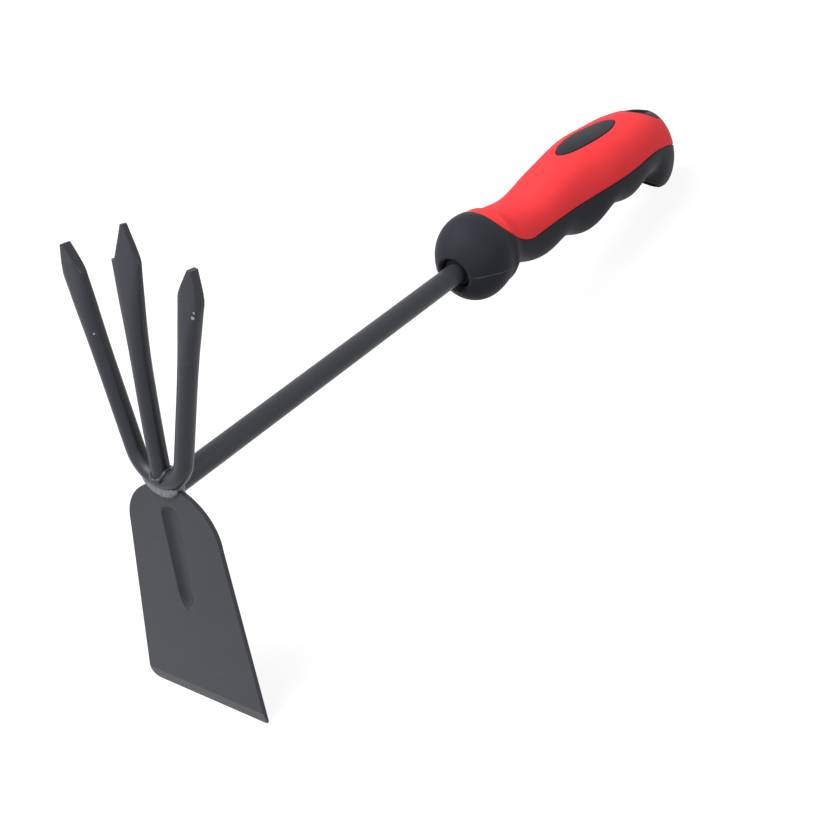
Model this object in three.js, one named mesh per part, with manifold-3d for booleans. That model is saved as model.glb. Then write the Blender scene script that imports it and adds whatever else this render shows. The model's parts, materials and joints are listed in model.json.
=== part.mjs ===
// A hand cultivator: a hoe blade and a three-tine fork welded to the end of a round steel bar,
// with a two-colour moulded handle. Lengths are in millimetres, angles in degrees.
// The tool is drawn with its bar along X, from the head to the butt, with Z towards the tines
// and Y across. The origin of that drawing is where the bar's axis meets the blade's front face.
// The last step stands the tool on its cutting edge and its pommel.

import * as THREE from 'three';
import { mergeVertices } from 'three/addons/utils/BufferGeometryUtils.js';
import Module from 'manifold-3d';

const wasm = await Module();
wasm.setup();

// Fits
const seatGap = 0.3;
const cutOverrun = 6;
const mergeDistance = 1e-5;

// Bar: a round bar whose end is pressed flat inside the handle
const barRadius = 4;
const tangSetIn = 18;
const tangPressLength = 14;
const tangHalfWidth = 5.6;
const tangHalfThickness = 2.6;
const tangHangDistance = 25;

// Blade: pressed plate with an arched crown, a groove and a ground edge
const bladeThickness = 1.6;
const bladeLean = 5.8;
const bladeCrownRise = 1.8;
const bladeShoulderDrop = 16.8;
const bladeShoulderHalfWidth = 20.5;
const bladeEdgeDrop = 80.5;
const bladeEdgeHalfWidth = 27.3;
const bladeLeftCornerRadius = 4.2;
const bladeRightCornerRadius = 1.2;
const bevelHeight = 4.6;
const edgeThickness = 0.5;
const grooveTopDrop = 5.9;
const grooveEndDrop = 44.8;
const grooveTopHalfWidth = 4.2;
const grooveEndHalfWidth = 3;
const grooveDepth = 1.7;
const grooveWall = 1.4;
const grooveEndShare = 0.1;

// Fork: one rod bent into a U, and a third rod standing in its crotch
const rodRadius = 3.1;
const forkSetback = 0.6;
const forkRise = 4;
const forkLean = 8;
const forkBendRadius = 11.4;
const forkSplay = 14.4;
const forkReach = 73.3;
const forkForgeLength = 49;
const outerHalfWidth = 4.6;
const outerHalfThickness = 2.6;
const outerPointLength = 10;
const outerTipHalfWidth = 0.75;
const centreFootSetback = 0.5;
const centreTipSetback = 12.4;
const centreTipRise = 86.3;
const centreBow = 0.9;
const centreForgeLength = 48;
const centreHalfWidth = 6.1;
const centreHalfThickness = 2.1;
const centrePointLength = 11.4;
const centreTipHalfWidth = 0.5;
const centreTipShift = 0.7;
const centreBarb = 2.1;
// A tip's thickness as a share of the thickness at its shoulders, and its end width as a share of
// its tip width.
const tipThicknessShare = 0.6;
const tipTaperShare = 0.5;

// Weld beads
const headBeadRadius = 1.7;
const frontBeadHalfHeight = 2.2;
const frontBeadHalfDepth = 1.5;
const frontBeadLeftReach = 9;
const frontBeadRightReach = 6.5;
const footBeadRadius = 0.9;
const beadRipplePitch = 2.2;
const beadRippleShare = 0.12;
const beadEndShare = 0.14;
// How far a bead's centre stands off the corner it fills, as a share of its own size.
const headBeadOutShare = 0.35;
const headBeadBackShare = 0.3;
const frontBeadSinkShare = 0.45;
const footBeadOutShare = 0.4;
const footBeadSideShare = 0.9;

// Handle: from the ball at the front to the pommel
const headToBall = 166.6;
const ballRadius = 17.1;
const ballRise = 1.3;
const ballFrontShare = 0.88;
const ballWidthShare = 0.863;
const gripLength = 143.1;
const gripRise = 18.1;
const gripDrop = 19.3;
const gripHalfWidth = 16.7;
const buttRounding = 20;
const notchDepth = 4;
const notchHalfWidth = 9.2;
const skinThickness = 3;
const recessRadius = 6.4;
const recessDepth = 3.5;
const recessLip = 1;
const buttWall = 9;
const seamSetback = 4;
const seamSweep = 19;
const seamDropFromButt = 41.2;
const seamEndDrop = 13;
const seamBendShare = 0.4;
const inlayFromButt = 63.2;
const inlayHalfLength = 20.1;
const inlayHalfWidth = 5.7;
const inlayShift = 1.2;
const hangFromButt = 21.2;
const hangLean = 5;
const hangRadius = 4;
const sleeveWall = 2;
const sleeveCollarRadius = 8.8;
const sleeveCollarDepth = 8;
const dishRadius = 6.4;
const dishDepth = 1.4;
const dishFlareShare = 1.4;

// Profiles of the grip. Each row is a place along the grip, as a share of its length from the
// ball's centre, and a share of the rise, drop or half width there.
const topShares = [
  [0.1, 0.8], [0.2, 0.68], [0.34, 0.86], [0.48, 1], [0.62, 0.94], [0.76, 0.82], [0.88, 0.55], [1, -0.2],
];
const underShares = [
  [0.1, 0.69], [0.28, 0.84], [0.46, 1], [0.64, 0.93], [0.8, 0.78], [0.87, 1.29], [0.93, 1.49], [1, 1.08],
];
const widthShares = [[0.1, 0.73], [0.34, 0.77], [0.62, 1], [0.88, 0.71], [1, 0.33]];
// Finger notches: a place along the grip and a share of the notch depth.
const notchShares = [[0.116, 0.8], [0.352, 0.83], [0.562, 1.05]];
// Where the ball has its first ring and the butt its last, and where the ball stops shaping the neck.
const ballStartShare = 0.1;
const buttEndShare = 0.4;
const neckStartShare = 0.6;
const neckReachShare = 2;
// Where the underside starts to narrow to the pommel's keel, where it has done so, and where it is
// round again.
const keelStartShare = 0.82;
const keelFullShare = 0.9;
const keelEndShare = 1.02;

// Roundness of the faceted surfaces
const curveSteps = 12;
const barSides = 24;
const pressSteps = 6;
const rodSides = 16;
const forgeSteps = 8;
const bendSteps = 6;
const grooveSides = 10;
const grooveSteps = 16;
const beadSides = 8;
const headBeadSteps = 36;
const frontBeadSteps = 24;
const footBeadSteps = 28;
const gripSides = 32;
const gripSteps = 32;
const gripEndSteps = 7;
const coreSides = 16;
const coreSteps = 10;
const coreEndSteps = 4;
const seamSteps = 10;
const hangSides = 24;
const dishSteps = 6;
const lipSteps = 5;
const stanceTries = 40;

// Exponents of the sections: 2 is a true ellipse, more is squarer
const roundExponent = 2;
const forgedExponent = 3.2;
const gripExponent = 2.3;
const pommelExponent = 1.4;
const seamExponent = 1.6;
// Exponents of the blends: how sharply the neck meets the ball, and how late the forging starts
const neckBlend = 6;
const outerForgeBlend = 2.85;
const centreForgeBlend = 1.75;

const steel = new THREE.MeshStandardMaterial({ color: '#3a3e44', roughness: 0.55, metalness: 0.3 });
const weldSteel = new THREE.MeshStandardMaterial({ color: '#4c5055', roughness: 0.5, metalness: 0.35 });
const hardPlastic = new THREE.MeshStandardMaterial({ color: '#26282b', roughness: 0.5, metalness: 0 });
const blackRubber = new THREE.MeshStandardMaterial({ color: '#2a2b2d', roughness: 0.75, metalness: 0 });
const redRubber = new THREE.MeshStandardMaterial({ color: '#d8262c', roughness: 0.6, metalness: 0 });

const { degToRad, lerp, smoothstep, clamp } = THREE.MathUtils;

// Solids

function solidFromGeometry(geometry) {
  const plain = geometry.clone();
  plain.deleteAttribute('normal');
  plain.deleteAttribute('uv');
  const merged = mergeVertices(plain, mergeDistance);
  return new wasm.Manifold(new wasm.Mesh({
    numProp: 3,
    vertProperties: new Float32Array(merged.attributes.position.array),
    triVerts: new Uint32Array(merged.index.array),
  }));
}

function geometryFromSolid(solid) {
  const mesh = solid.getMesh();
  const geometry = new THREE.BufferGeometry();
  const positions = new Float32Array(mesh.vertProperties);
  geometry.setAttribute('position', new THREE.BufferAttribute(positions, mesh.numProp));
  geometry.setIndex(Array.from(mesh.triVerts));
  const faceted = geometry.toNonIndexed();
  faceted.computeVertexNormals();
  return faceted;
}

function signedVolume(points, faces) {
  let sum = 0;
  for (let i = 0; i < faces.length; i += 3) {
    const [a, b, c] = [points[faces[i]], points[faces[i + 1]], points[faces[i + 2]]];
    sum += a.dot(new THREE.Vector3().crossVectors(b, c));
  }
  return sum / 6;
}

// Skins a row of rings that all have the same number of points. An open row gets a fan over
// each end, and a closed row joins its last ring to its first.
function loft(rings, closed = false) {
  const count = rings[0].length;
  const points = rings.flat();
  const faces = [];
  const spans = closed ? rings.length : rings.length - 1;
  for (let i = 0; i < spans; i += 1) {
    const here = i * count;
    const next = ((i + 1) % rings.length) * count;
    for (let j = 0; j < count; j += 1) {
      const k = (j + 1) % count;
      faces.push(here + j, next + j, next + k, here + j, next + k, here + k);
    }
  }
  if (!closed) {
    for (const [ring, start, turn] of [[rings[0], 0, 1], [rings.at(-1), points.length - count, -1]]) {
      const centre = ring.reduce((sum, p) => sum.add(p), new THREE.Vector3()).divideScalar(count);
      points.push(centre);
      const tip = points.length - 1;
      for (let j = 0; j < count; j += 1) {
        const k = (j + 1) % count;
        faces.push(tip, start + (turn > 0 ? j : k), start + (turn > 0 ? k : j));
      }
    }
  }
  if (signedVolume(points, faces) < 0) {
    for (let i = 0; i < faces.length; i += 3) [faces[i], faces[i + 1]] = [faces[i + 1], faces[i]];
  }
  const geometry = new THREE.BufferGeometry().setFromPoints(points);
  geometry.setIndex(faces);
  return solidFromGeometry(geometry);
}

function extrude(shape, depth, place) {
  const settings = { depth, bevelEnabled: false, curveSegments: curveSteps };
  const geometry = new THREE.ExtrudeGeometry(shape, settings);
  return solidFromGeometry(geometry.applyMatrix4(place));
}

// An outline in X and Z, extruded to both sides of the plane of symmetry.
function extrudeAcross(shape, halfWidth) {
  const place = new THREE.Matrix4().makeRotationX(Math.PI / 2).setPosition(0, halfWidth, 0);
  return extrude(shape, 2 * halfWidth, place);
}

function power(value, exponent) {
  return Math.sign(value) * Math.abs(value) ** exponent;
}

// A ring round a centre, between an ellipse and a rounded rectangle.
function sectionRing(centre, acrossAxis, thickAxis, across, thick, exponent, sides) {
  return Array.from({ length: sides }, (_, i) => {
    const angle = (2 * Math.PI * i) / sides;
    return centre.clone()
      .addScaledVector(acrossAxis, across * power(Math.cos(angle), 2 / exponent))
      .addScaledVector(thickAxis, thick * power(Math.sin(angle), 2 / exponent));
  });
}

// Places of the blade and the fork in the tool's drawing

const alongX = new THREE.Vector3(1, 0, 0);
const alongY = new THREE.Vector3(0, 1, 0);
const alongZ = new THREE.Vector3(0, 0, 1);

// On the blade: x is across, y is up along the plate and z goes from the front face to the back.
const bladePlace = new THREE.Matrix4().makeRotationY(degToRad(bladeLean))
  .multiply(new THREE.Matrix4().makeBasis(alongY, alongZ, alongX));

// On the fork: x is the thickness, y is across and z is up along the tines.
const forkPlace = new THREE.Matrix4().makeTranslation(forkSetback, 0, forkRise)
  .multiply(new THREE.Matrix4().makeRotationY(degToRad(forkLean)));

// Fork

// A tine's section at a distance from its tip: flat from the shoulders of the point, round where
// the forging ends.
function forgedSection(distance, tine) {
  const { forgeLength, pointLength, halfWidth, halfThickness, forgeBlend } = tine;
  const share = clamp((forgeLength - distance) / (forgeLength - pointLength), 0, 1);
  const press = share ** forgeBlend;
  const point = lerp(tipThicknessShare, 1, clamp(distance / pointLength, 0, 1));
  return {
    across: lerp(rodRadius, halfWidth, press),
    thick: lerp(rodRadius, halfThickness, press) * point,
    exponent: lerp(roundExponent, forgedExponent, press),
  };
}

// Distances from the tip at which a tine has a ring: fine where it is forged.
function tineSteps({ forgeLength, pointLength }, fullLength) {
  const forged = Array.from({ length: forgeSteps + 1 }, (_, i) => {
    return lerp(pointLength, forgeLength, i / forgeSteps);
  });
  return [0, ...forged, (forgeLength + fullLength) / 2, fullLength];
}

// The sheared point: everything outside two straight cuts that close on a blunt tip.
// The place puts the tip at the origin with y across the tine and z along it.
function pointCuts(place, tine) {
  const { halfWidth, pointLength, tipHalfWidth, tipShift, halfThickness, leftLedge } = tine;
  const depth = 2 * (halfThickness + cutOverrun);
  const cuts = [];
  for (const side of [1, -1]) {
    const shoulder = halfWidth - (side > 0 ? leftLedge : 0);
    const outline = new THREE.Shape([
      new THREE.Vector2(side * shoulder, -pointLength),
      new THREE.Vector2(side * (halfWidth + cutOverrun), -pointLength),
      new THREE.Vector2(side * (halfWidth + cutOverrun), cutOverrun),
      new THREE.Vector2(side * tipHalfWidth * tipTaperShare - tipShift, cutOverrun),
      new THREE.Vector2(side * tipHalfWidth - tipShift, 0),
    ]);
    const across = place.clone().multiply(new THREE.Matrix4().makeBasis(alongY, alongZ, alongX))
      .multiply(new THREE.Matrix4().makeTranslation(0, 0, -depth / 2));
    cuts.push(extrude(outline, depth, across));
  }
  return cuts[0].add(cuts[1]);
}

const outerTine = {
  forgeLength: forkForgeLength,
  pointLength: outerPointLength,
  halfWidth: outerHalfWidth,
  halfThickness: outerHalfThickness,
  tipHalfWidth: outerTipHalfWidth,
  forgeBlend: outerForgeBlend,
  tipShift: 0,
  leftLedge: 0,
};
const splayTurn = degToRad(90 - forkSplay);
const bendLength = forkBendRadius * splayTurn;
const legStart = forkBend(splayTurn);
const legLine = new THREE.Vector3(0, Math.cos(splayTurn), Math.sin(splayTurn));
const legLength = (forkReach - legStart.z) / legLine.z;

function forkBend(turn) {
  return new THREE.Vector3(0, forkBendRadius * Math.sin(turn), forkBendRadius * (1 - Math.cos(turn)));
}

// Where the U rod's centre line is, a signed distance from the bottom of the bend.
function forkAt(distance) {
  const side = Math.sign(distance) || 1;
  const run = Math.abs(distance);
  let centre;
  let line;
  if (run < bendLength) {
    const turn = run / forkBendRadius;
    centre = forkBend(turn);
    line = new THREE.Vector3(0, Math.cos(turn), Math.sin(turn));
  } else {
    centre = legStart.clone().addScaledVector(legLine, run - bendLength);
    line = legLine.clone();
  }
  centre.y *= side;
  line.z *= side;
  return { centre, across: new THREE.Vector3(0, -line.z, line.y) };
}

function forkRod(grow) {
  const reach = bendLength + legLength;
  const legSteps = tineSteps(outerTine, legLength).map((step) => reach - step);
  const bend = Array.from({ length: bendSteps }, (_, i) => bendLength * (1 - (i + 1) / bendSteps));
  const runs = [...legSteps, ...bend];
  const distances = [...runs, ...runs.slice(0, -1).reverse().map((run) => -run)];
  return loft(distances.map((distance) => {
    const { centre, across } = forkAt(distance);
    const section = forgedSection(reach - Math.abs(distance), outerTine);
    const ring = sectionRing(
      centre, across, alongX, section.across + grow, section.thick + grow, section.exponent, rodSides,
    );
    return ring.map((p) => p.applyMatrix4(forkPlace));
  }));
}

function outerTines() {
  let solid = forkRod(0);
  for (const side of [1, -1]) {
    const tip = legStart.clone().addScaledVector(legLine, legLength);
    tip.y *= side;
    const place = forkPlace.clone()
      .multiply(new THREE.Matrix4().makeTranslation(tip))
      .multiply(new THREE.Matrix4().makeRotationX(-side * degToRad(forkSplay)));
    solid = solid.subtract(pointCuts(place, outerTine));
  }
  return solid;
}

// The third tine bows a little and has a barb on its left shoulder.
const middleTine = {
  forgeLength: centreForgeLength,
  pointLength: centrePointLength,
  halfWidth: centreHalfWidth,
  halfThickness: centreHalfThickness,
  tipHalfWidth: centreTipHalfWidth,
  forgeBlend: centreForgeBlend,
  tipShift: centreTipShift,
  leftLedge: centreBarb,
};
const centreFoot = new THREE.Vector3(centreFootSetback, 0, forkRise + rodRadius / 2);
const centreTip = new THREE.Vector3(centreTipSetback, 0, centreTipRise);
const centreLine = new THREE.QuadraticBezierCurve3(
  centreFoot,
  centreFoot.clone().add(centreTip).divideScalar(2).addScaledVector(alongX, -2 * centreBow),
  centreTip,
);

function centreRod(grow) {
  const length = centreLine.getLength();
  return loft(tineSteps(middleTine, length).map((step) => {
    const share = 1 - step / length;
    const line = centreLine.getTangentAt(share);
    const section = forgedSection(step, middleTine);
    const thickAxis = new THREE.Vector3().crossVectors(alongY, line);
    const centre = centreLine.getPointAt(share);
    return sectionRing(
      centre, alongY, thickAxis, section.across + grow, section.thick + grow, section.exponent, rodSides,
    );
  }));
}

function centreTine(forkRoom) {
  const line = centreLine.getTangentAt(1);
  const place = new THREE.Matrix4().makeBasis(new THREE.Vector3().crossVectors(alongY, line), alongY, line)
    .setPosition(centreTip);
  return cutBy(centreRod(0), forkRoom, pointCuts(place, middleTine));
}

// Blade

function bladeOutline() {
  const side = new THREE.Vector2(
    bladeShoulderHalfWidth - bladeEdgeHalfWidth, bladeEdgeDrop - bladeShoulderDrop,
  ).normalize();
  const outline = new THREE.Shape();
  outline.moveTo(-bladeEdgeHalfWidth + bladeRightCornerRadius, -bladeEdgeDrop);
  outline.lineTo(bladeEdgeHalfWidth - bladeLeftCornerRadius, -bladeEdgeDrop);
  outline.quadraticCurveTo(
    bladeEdgeHalfWidth, -bladeEdgeDrop,
    bladeEdgeHalfWidth + side.x * bladeLeftCornerRadius, -bladeEdgeDrop + side.y * bladeLeftCornerRadius,
  );
  outline.lineTo(bladeShoulderHalfWidth, -bladeShoulderDrop);
  outline.absellipse(
    0, -bladeShoulderDrop, bladeShoulderHalfWidth, bladeShoulderDrop + bladeCrownRise, 0, Math.PI, false, 0,
  );
  outline.lineTo(
    -bladeEdgeHalfWidth - side.x * bladeRightCornerRadius, -bladeEdgeDrop + side.y * bladeRightCornerRadius,
  );
  outline.quadraticCurveTo(
    -bladeEdgeHalfWidth, -bladeEdgeDrop,
    -bladeEdgeHalfWidth + bladeRightCornerRadius, -bladeEdgeDrop,
  );
  return outline;
}

// The groove pressed into the plate: a tapered trough with round ends. Each ring is a half
// ellipse that goes into the plate, closed by a chord at the given level.
function grooveForm(wall, level, lip) {
  const length = grooveEndDrop - grooveTopDrop;
  return loft(Array.from({ length: grooveSteps + 1 }, (_, i) => {
    const along = (1 - Math.cos((Math.PI * i) / grooveSteps)) / 2;
    const drop = grooveTopDrop - wall + (length + 2 * wall) * along;
    const halfWidth = lerp(grooveTopHalfWidth, grooveEndHalfWidth, along) + wall;
    const fromEnd = Math.min(drop - grooveTopDrop + wall, grooveEndDrop + wall - drop);
    const round = Math.sqrt(1 - (1 - clamp(fromEnd / halfWidth, 0, 1)) ** 2);
    const close = Math.max(round, grooveEndShare);
    const deep = (grooveDepth + wall - level) * close;
    const arc = Array.from({ length: grooveSides + 1 }, (_, j) => {
      const angle = (Math.PI * j) / grooveSides;
      return new THREE.Vector3(halfWidth * close * Math.cos(angle), -drop, level + deep * Math.sin(angle));
    });
    if (lip > 0) {
      arc.push(new THREE.Vector3(-halfWidth * close, -drop, level - lip));
      arc.push(new THREE.Vector3(halfWidth * close, -drop, level - lip));
    }
    return arc.map((p) => p.applyMatrix4(bladePlace));
  }));
}

// A straight-sided solid right across the blade: its outline is in depth and height.
function acrossBlade(points) {
  const halfWidth = bladeEdgeHalfWidth + cutOverrun;
  const place = bladePlace.clone()
    .multiply(new THREE.Matrix4().makeRotationY(-Math.PI / 2))
    .multiply(new THREE.Matrix4().makeTranslation(0, 0, -halfWidth));
  const outline = new THREE.Shape(points.map(([depth, up]) => new THREE.Vector2(depth, up)));
  return extrude(outline, 2 * halfWidth, place);
}

function hoeBlade(forkRoom) {
  const groundDepth = bladeThickness - edgeThickness;
  const overrunShare = 1 + cutOverrun / bevelHeight;
  const bevel = acrossBlade([
    [0, -bladeEdgeDrop + bevelHeight],
    [-cutOverrun, -bladeEdgeDrop + bevelHeight],
    [-cutOverrun, -bladeEdgeDrop - cutOverrun],
    [groundDepth * overrunShare, -bladeEdgeDrop - cutOverrun],
  ]);
  return extrude(bladeOutline(), bladeThickness, bladePlace)
    .add(grooveForm(grooveWall, bladeThickness / 2, 0))
    .subtract(grooveForm(0, 0, cutOverrun))
    .subtract(bevel)
    .subtract(forkRoom);
}

// The slab of room that the plate and its pressed groove take, with a gap on both faces.
function bladeKeepOut() {
  const crown = forkRise + forkBendRadius;
  const back = bladeThickness + seatGap;
  return acrossBlade([[-seatGap, -bladeEdgeDrop], [back, -bladeEdgeDrop], [back, crown], [-seatGap, crown]])
    .add(grooveForm(grooveWall + seatGap, bladeThickness / 2, 0));
}

// Bar

const hangX = headToBall + gripLength - hangFromButt;
const barEnd = hangX - tangHangDistance;

function barForm(start, grow) {
  const pressStart = headToBall + tangSetIn;
  const press = Array.from({ length: pressSteps + 1 }, (_, i) => {
    return lerp(pressStart, pressStart + tangPressLength, i / pressSteps);
  });
  return loft([start, ...press, barEnd + grow].map((x) => {
    const share = smoothstep(x, pressStart, pressStart + tangPressLength);
    return sectionRing(
      new THREE.Vector3(x, 0, 0), alongY, alongZ,
      lerp(barRadius, tangHalfWidth, share) + grow,
      lerp(barRadius, tangHalfThickness, share) + grow,
      lerp(roundExponent, forgedExponent, share), barSides,
    );
  }));
}

function bar(bladeRoom, forkRoom) {
  const plate = acrossBlade([
    [-cutOverrun - barRadius, -barRadius - cutOverrun],
    [bladeThickness + seatGap, -barRadius - cutOverrun],
    [bladeThickness + seatGap, barRadius + cutOverrun],
    [-cutOverrun - barRadius, barRadius + cutOverrun],
  ]);
  return cutBy(barForm(0, 0), plate, bladeRoom, forkRoom);
}

// Weld beads

function ripple(run) {
  return 1 + beadRippleShare * Math.sin((2 * Math.PI * run) / beadRipplePitch);
}

// How far back the blade or the U rod reaches at a point of the bar's surface.
function headReach(y, z) {
  const plateBack = bladeThickness / Math.cos(degToRad(bladeLean)) + z * Math.tan(degToRad(bladeLean));
  const rodRise = forkRise + forkBendRadius - Math.sqrt(forkBendRadius ** 2 - y ** 2);
  const off = Math.min(Math.abs(z - rodRise) / rodRadius, 1);
  const rodBack = forkSetback + rodRadius * Math.sqrt(1 - off ** 2);
  return Math.max(plateBack, off < 1 ? rodBack : plateBack);
}

function headBeadForm(grow) {
  const ringRadius = barRadius + headBeadRadius * headBeadOutShare;
  const rings = Array.from({ length: headBeadSteps }, (_, i) => {
    const angle = (2 * Math.PI * i) / headBeadSteps;
    const out = new THREE.Vector3(0, Math.sin(angle), Math.cos(angle));
    const centre = out.clone().multiplyScalar(ringRadius);
    centre.x = headReach(centre.y, centre.z) + headBeadRadius * headBeadBackShare;
    const radius = headBeadRadius * ripple(angle * ringRadius) + grow;
    return sectionRing(centre, out, alongX, radius, radius, roundExponent, beadSides);
  });
  return loft(rings, true);
}

function frontBeadForm() {
  const outer = forkBendRadius + rodRadius;
  return loft(Array.from({ length: frontBeadSteps + 1 }, (_, i) => {
    const y = lerp(-frontBeadRightReach, frontBeadLeftReach, i / frontBeadSteps);
    const reach = y < 0 ? frontBeadRightReach : frontBeadLeftReach;
    const swell = Math.max(Math.sqrt(Math.max(1 - (y / reach) ** 2, 0)), beadEndShare) * ripple(y);
    const rodUnder = forkRise - rodRadius + outer - Math.sqrt(outer ** 2 - y ** 2);
    const centre = new THREE.Vector3(-seatGap, y, rodUnder - frontBeadHalfHeight * frontBeadSinkShare);
    const [tall, deep] = [frontBeadHalfHeight * swell, frontBeadHalfDepth * swell];
    return sectionRing(centre, alongZ, alongX, tall, deep, roundExponent, beadSides);
  }));
}

function footBeadForm() {
  const ringRadius = rodRadius + footBeadRadius * footBeadOutShare;
  const inner = forkBendRadius - rodRadius;
  const rings = Array.from({ length: footBeadSteps }, (_, i) => {
    const angle = (2 * Math.PI * i) / footBeadSteps;
    const out = new THREE.Vector3(Math.cos(angle), Math.sin(angle), 0);
    const centre = out.clone().multiplyScalar(ringRadius);
    centre.x += centreFootSetback;
    const off = Math.min(Math.abs(centre.x - forkSetback) / rodRadius, footBeadSideShare);
    centre.z = forkRise + rodRadius * Math.sqrt(1 - off ** 2) + inner - Math.sqrt(inner ** 2 - centre.y ** 2);
    centre.z += footBeadRadius * footBeadOutShare;
    const radius = footBeadRadius * ripple(angle * ringRadius);
    return sectionRing(centre, out, alongZ, radius, radius, roundExponent, beadSides);
  });
  return loft(rings, true);
}

// Handle

function profile(shares, scale) {
  const places = shares.map(([place]) => place);
  const values = shares.map(([, value]) => value * scale);
  const spline = new THREE.CubicInterpolant(places, values, 1);
  return (place) => spline.evaluate(clamp(place, places[0], places.at(-1)))[0];
}

const gripTop = profile(topShares, gripRise);
const gripUnder = profile(underShares, gripDrop);
const gripWide = profile(widthShares, gripHalfWidth);

function notchAt(place) {
  return notchShares.reduce((sum, [at, share]) => {
    const away = ((place - at) * gripLength) / notchHalfWidth;
    return sum + share * notchDepth * Math.exp(-(away ** 2));
  }, 0);
}

// The ball and the grip run into each other with a soft neck.
function blend(ball, grip) {
  return (ball ** neckBlend + grip ** neckBlend) ** (1 / neckBlend);
}

// One ring of the handle at a distance behind the ball's centre. An inner form is drawn in by an
// inset all round and by a wall at the butt. It has no notches, so it also keeps clear of them.
function gripRing(behind, inset, wall, notched, sides) {
  const ball = ballRadius - inset;
  const length = gripLength - wall;
  const place = behind / gripLength;
  const butt = Math.max(behind - length + buttRounding, 0) / buttRounding;
  const close = Math.max(1 - butt ** gripExponent, 0) ** (1 / gripExponent);
  const notch = notched ? notchAt(place) : notchDepth;
  const top = gripTop(place) - inset;
  const under = gripUnder(place) - inset - notch;
  const middle = (top - under) / 2;
  const half = ((top + under) / 2) * close;
  const wide = (gripWide(place) - inset) * close;
  const along = behind < 0 ? behind / ballFrontShare : behind;
  const round = Math.sqrt(Math.max(ball ** 2 - along ** 2, 0));
  const rise = lerp(ballRise, middle, smoothstep(behind, ballRadius, ballRadius * neckReachShare));
  let sizes = { up: round, down: round, across: round * ballWidthShare };
  if (behind > 0) {
    const grown = smoothstep(behind, 0, ballRadius * neckStartShare);
    sizes = {
      up: blend(round, Math.max(middle + half - rise, 0) * grown),
      down: blend(round, Math.max(rise - middle + half, 0) * grown),
      across: blend(round * ballWidthShare, wide * grown),
    };
  }
  const exponent = lerp(roundExponent, gripExponent, smoothstep(behind, 0, ballRadius));
  const keel = smoothstep(place, keelStartShare, keelFullShare) - smoothstep(place, keelFullShare, keelEndShare);
  const underExponent = lerp(exponent, pommelExponent, keel);
  return Array.from({ length: sides }, (_, i) => {
    const angle = (2 * Math.PI * i) / sides;
    const high = Math.sin(angle);
    return new THREE.Vector3(
      headToBall + behind,
      sizes.across * power(Math.cos(angle), 2 / exponent),
      rise + (high > 0 ? sizes.up * power(high, 2 / exponent) : sizes.down * power(high, 2 / underExponent)),
    );
  });
}

function gripForm(inset, wall, notched, steps, endSteps, sides) {
  const quarter = Math.PI / 2;
  const ball = ballRadius - inset;
  const straight = gripLength - wall - buttRounding;
  const front = Array.from({ length: endSteps }, (_, i) => {
    return -ballFrontShare * ball * Math.cos(quarter * lerp(ballStartShare, 1, i / endSteps));
  });
  const body = Array.from({ length: steps + 1 }, (_, i) => (straight * i) / steps);
  const end = Array.from({ length: endSteps }, (_, i) => {
    return straight + buttRounding * Math.sin((quarter * (i + 1)) / (endSteps + buttEndShare));
  });
  return loft([...front, ...body, ...end].map((behind) => gripRing(behind, inset, wall, notched, sides)));
}

function gripOutside() {
  return gripForm(0, 0, true, gripSteps, gripEndSteps, gripSides);
}

// The hard core fills the handle under the soft skin.
function coreForm(grow) {
  return gripForm(skinThickness - grow, buttWall - grow, false, coreSteps, coreEndSteps, coreSides);
}

// The colour seam, seen from the side: down the back of the ball, along the parting plane of
// the mould and down to the butt.
function seamRegion(shift) {
  const front = headToBall + seamSetback;
  const end = headToBall + gripLength;
  const dropStart = end - seamDropFromButt;
  const ballTop = ballRadius + ballRise;
  const sweep = Array.from({ length: seamSteps + 1 }, (_, i) => {
    const angle = ((Math.PI / 2) * i) / seamSteps;
    return new THREE.Vector2(
      front + seamSweep * (1 - power(Math.cos(angle), 2 / seamExponent)),
      ballTop * (1 - power(Math.sin(angle), 2 / seamExponent)),
    );
  });
  const drop = new THREE.QuadraticBezierCurve(
    new THREE.Vector2(dropStart, 0),
    new THREE.Vector2(lerp(dropStart, end, seamBendShare), 0),
    new THREE.Vector2(end, -seamEndDrop),
  );
  const points = [...sweep, ...drop.getPoints(seamSteps)];
  const moved = points.map((p, i) => {
    const before = points[Math.max(i - 1, 0)];
    const after = points[Math.min(i + 1, points.length - 1)];
    const run = after.clone().sub(before).normalize();
    return new THREE.Vector2(p.x - run.y * shift, p.y + run.x * shift);
  });
  const high = 2 * (ballRadius + gripRise);
  const far = moved.at(-1).clone().add(new THREE.Vector2(cutOverrun, -cutOverrun / 2));
  return extrudeAcross(new THREE.Shape([
    ...moved, far, new THREE.Vector2(far.x, high), new THREE.Vector2(moved[0].x, high),
  ]), gripHalfWidth + ballRadius);
}

function ovalPost(grow) {
  const outline = new THREE.Shape();
  const middle = headToBall + gripLength - inlayFromButt;
  outline.absellipse(
    middle, -inlayShift, inlayHalfLength + grow, inlayHalfWidth + grow, 0, 2 * Math.PI, false, 0,
  );
  return extrude(outline, gripRise + cutOverrun, new THREE.Matrix4());
}

// Round solids on the axis of the hang hole. Heights are measured from the top of the butt.
const hangTop = gripTop(1 - hangFromButt / gripLength);
const hangPlace = new THREE.Matrix4().makeTranslation(hangX, 0, hangTop)
  .multiply(new THREE.Matrix4().makeRotationY(-degToRad(hangLean)))
  .multiply(new THREE.Matrix4().makeRotationX(Math.PI / 2));

function hangRound(radius, low, high) {
  const geometry = new THREE.CylinderGeometry(radius, radius, high - low, hangSides);
  geometry.translate(0, (low + high) / 2, 0);
  return solidFromGeometry(geometry.applyMatrix4(hangPlace));
}

function sleevePost(grow) {
  const through = 2 * (gripRise + gripDrop);
  return hangRound(hangRadius + sleeveWall + grow, -through, cutOverrun)
    .add(hangRound(sleeveCollarRadius + grow, -sleeveCollarDepth - grow, cutOverrun));
}

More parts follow.
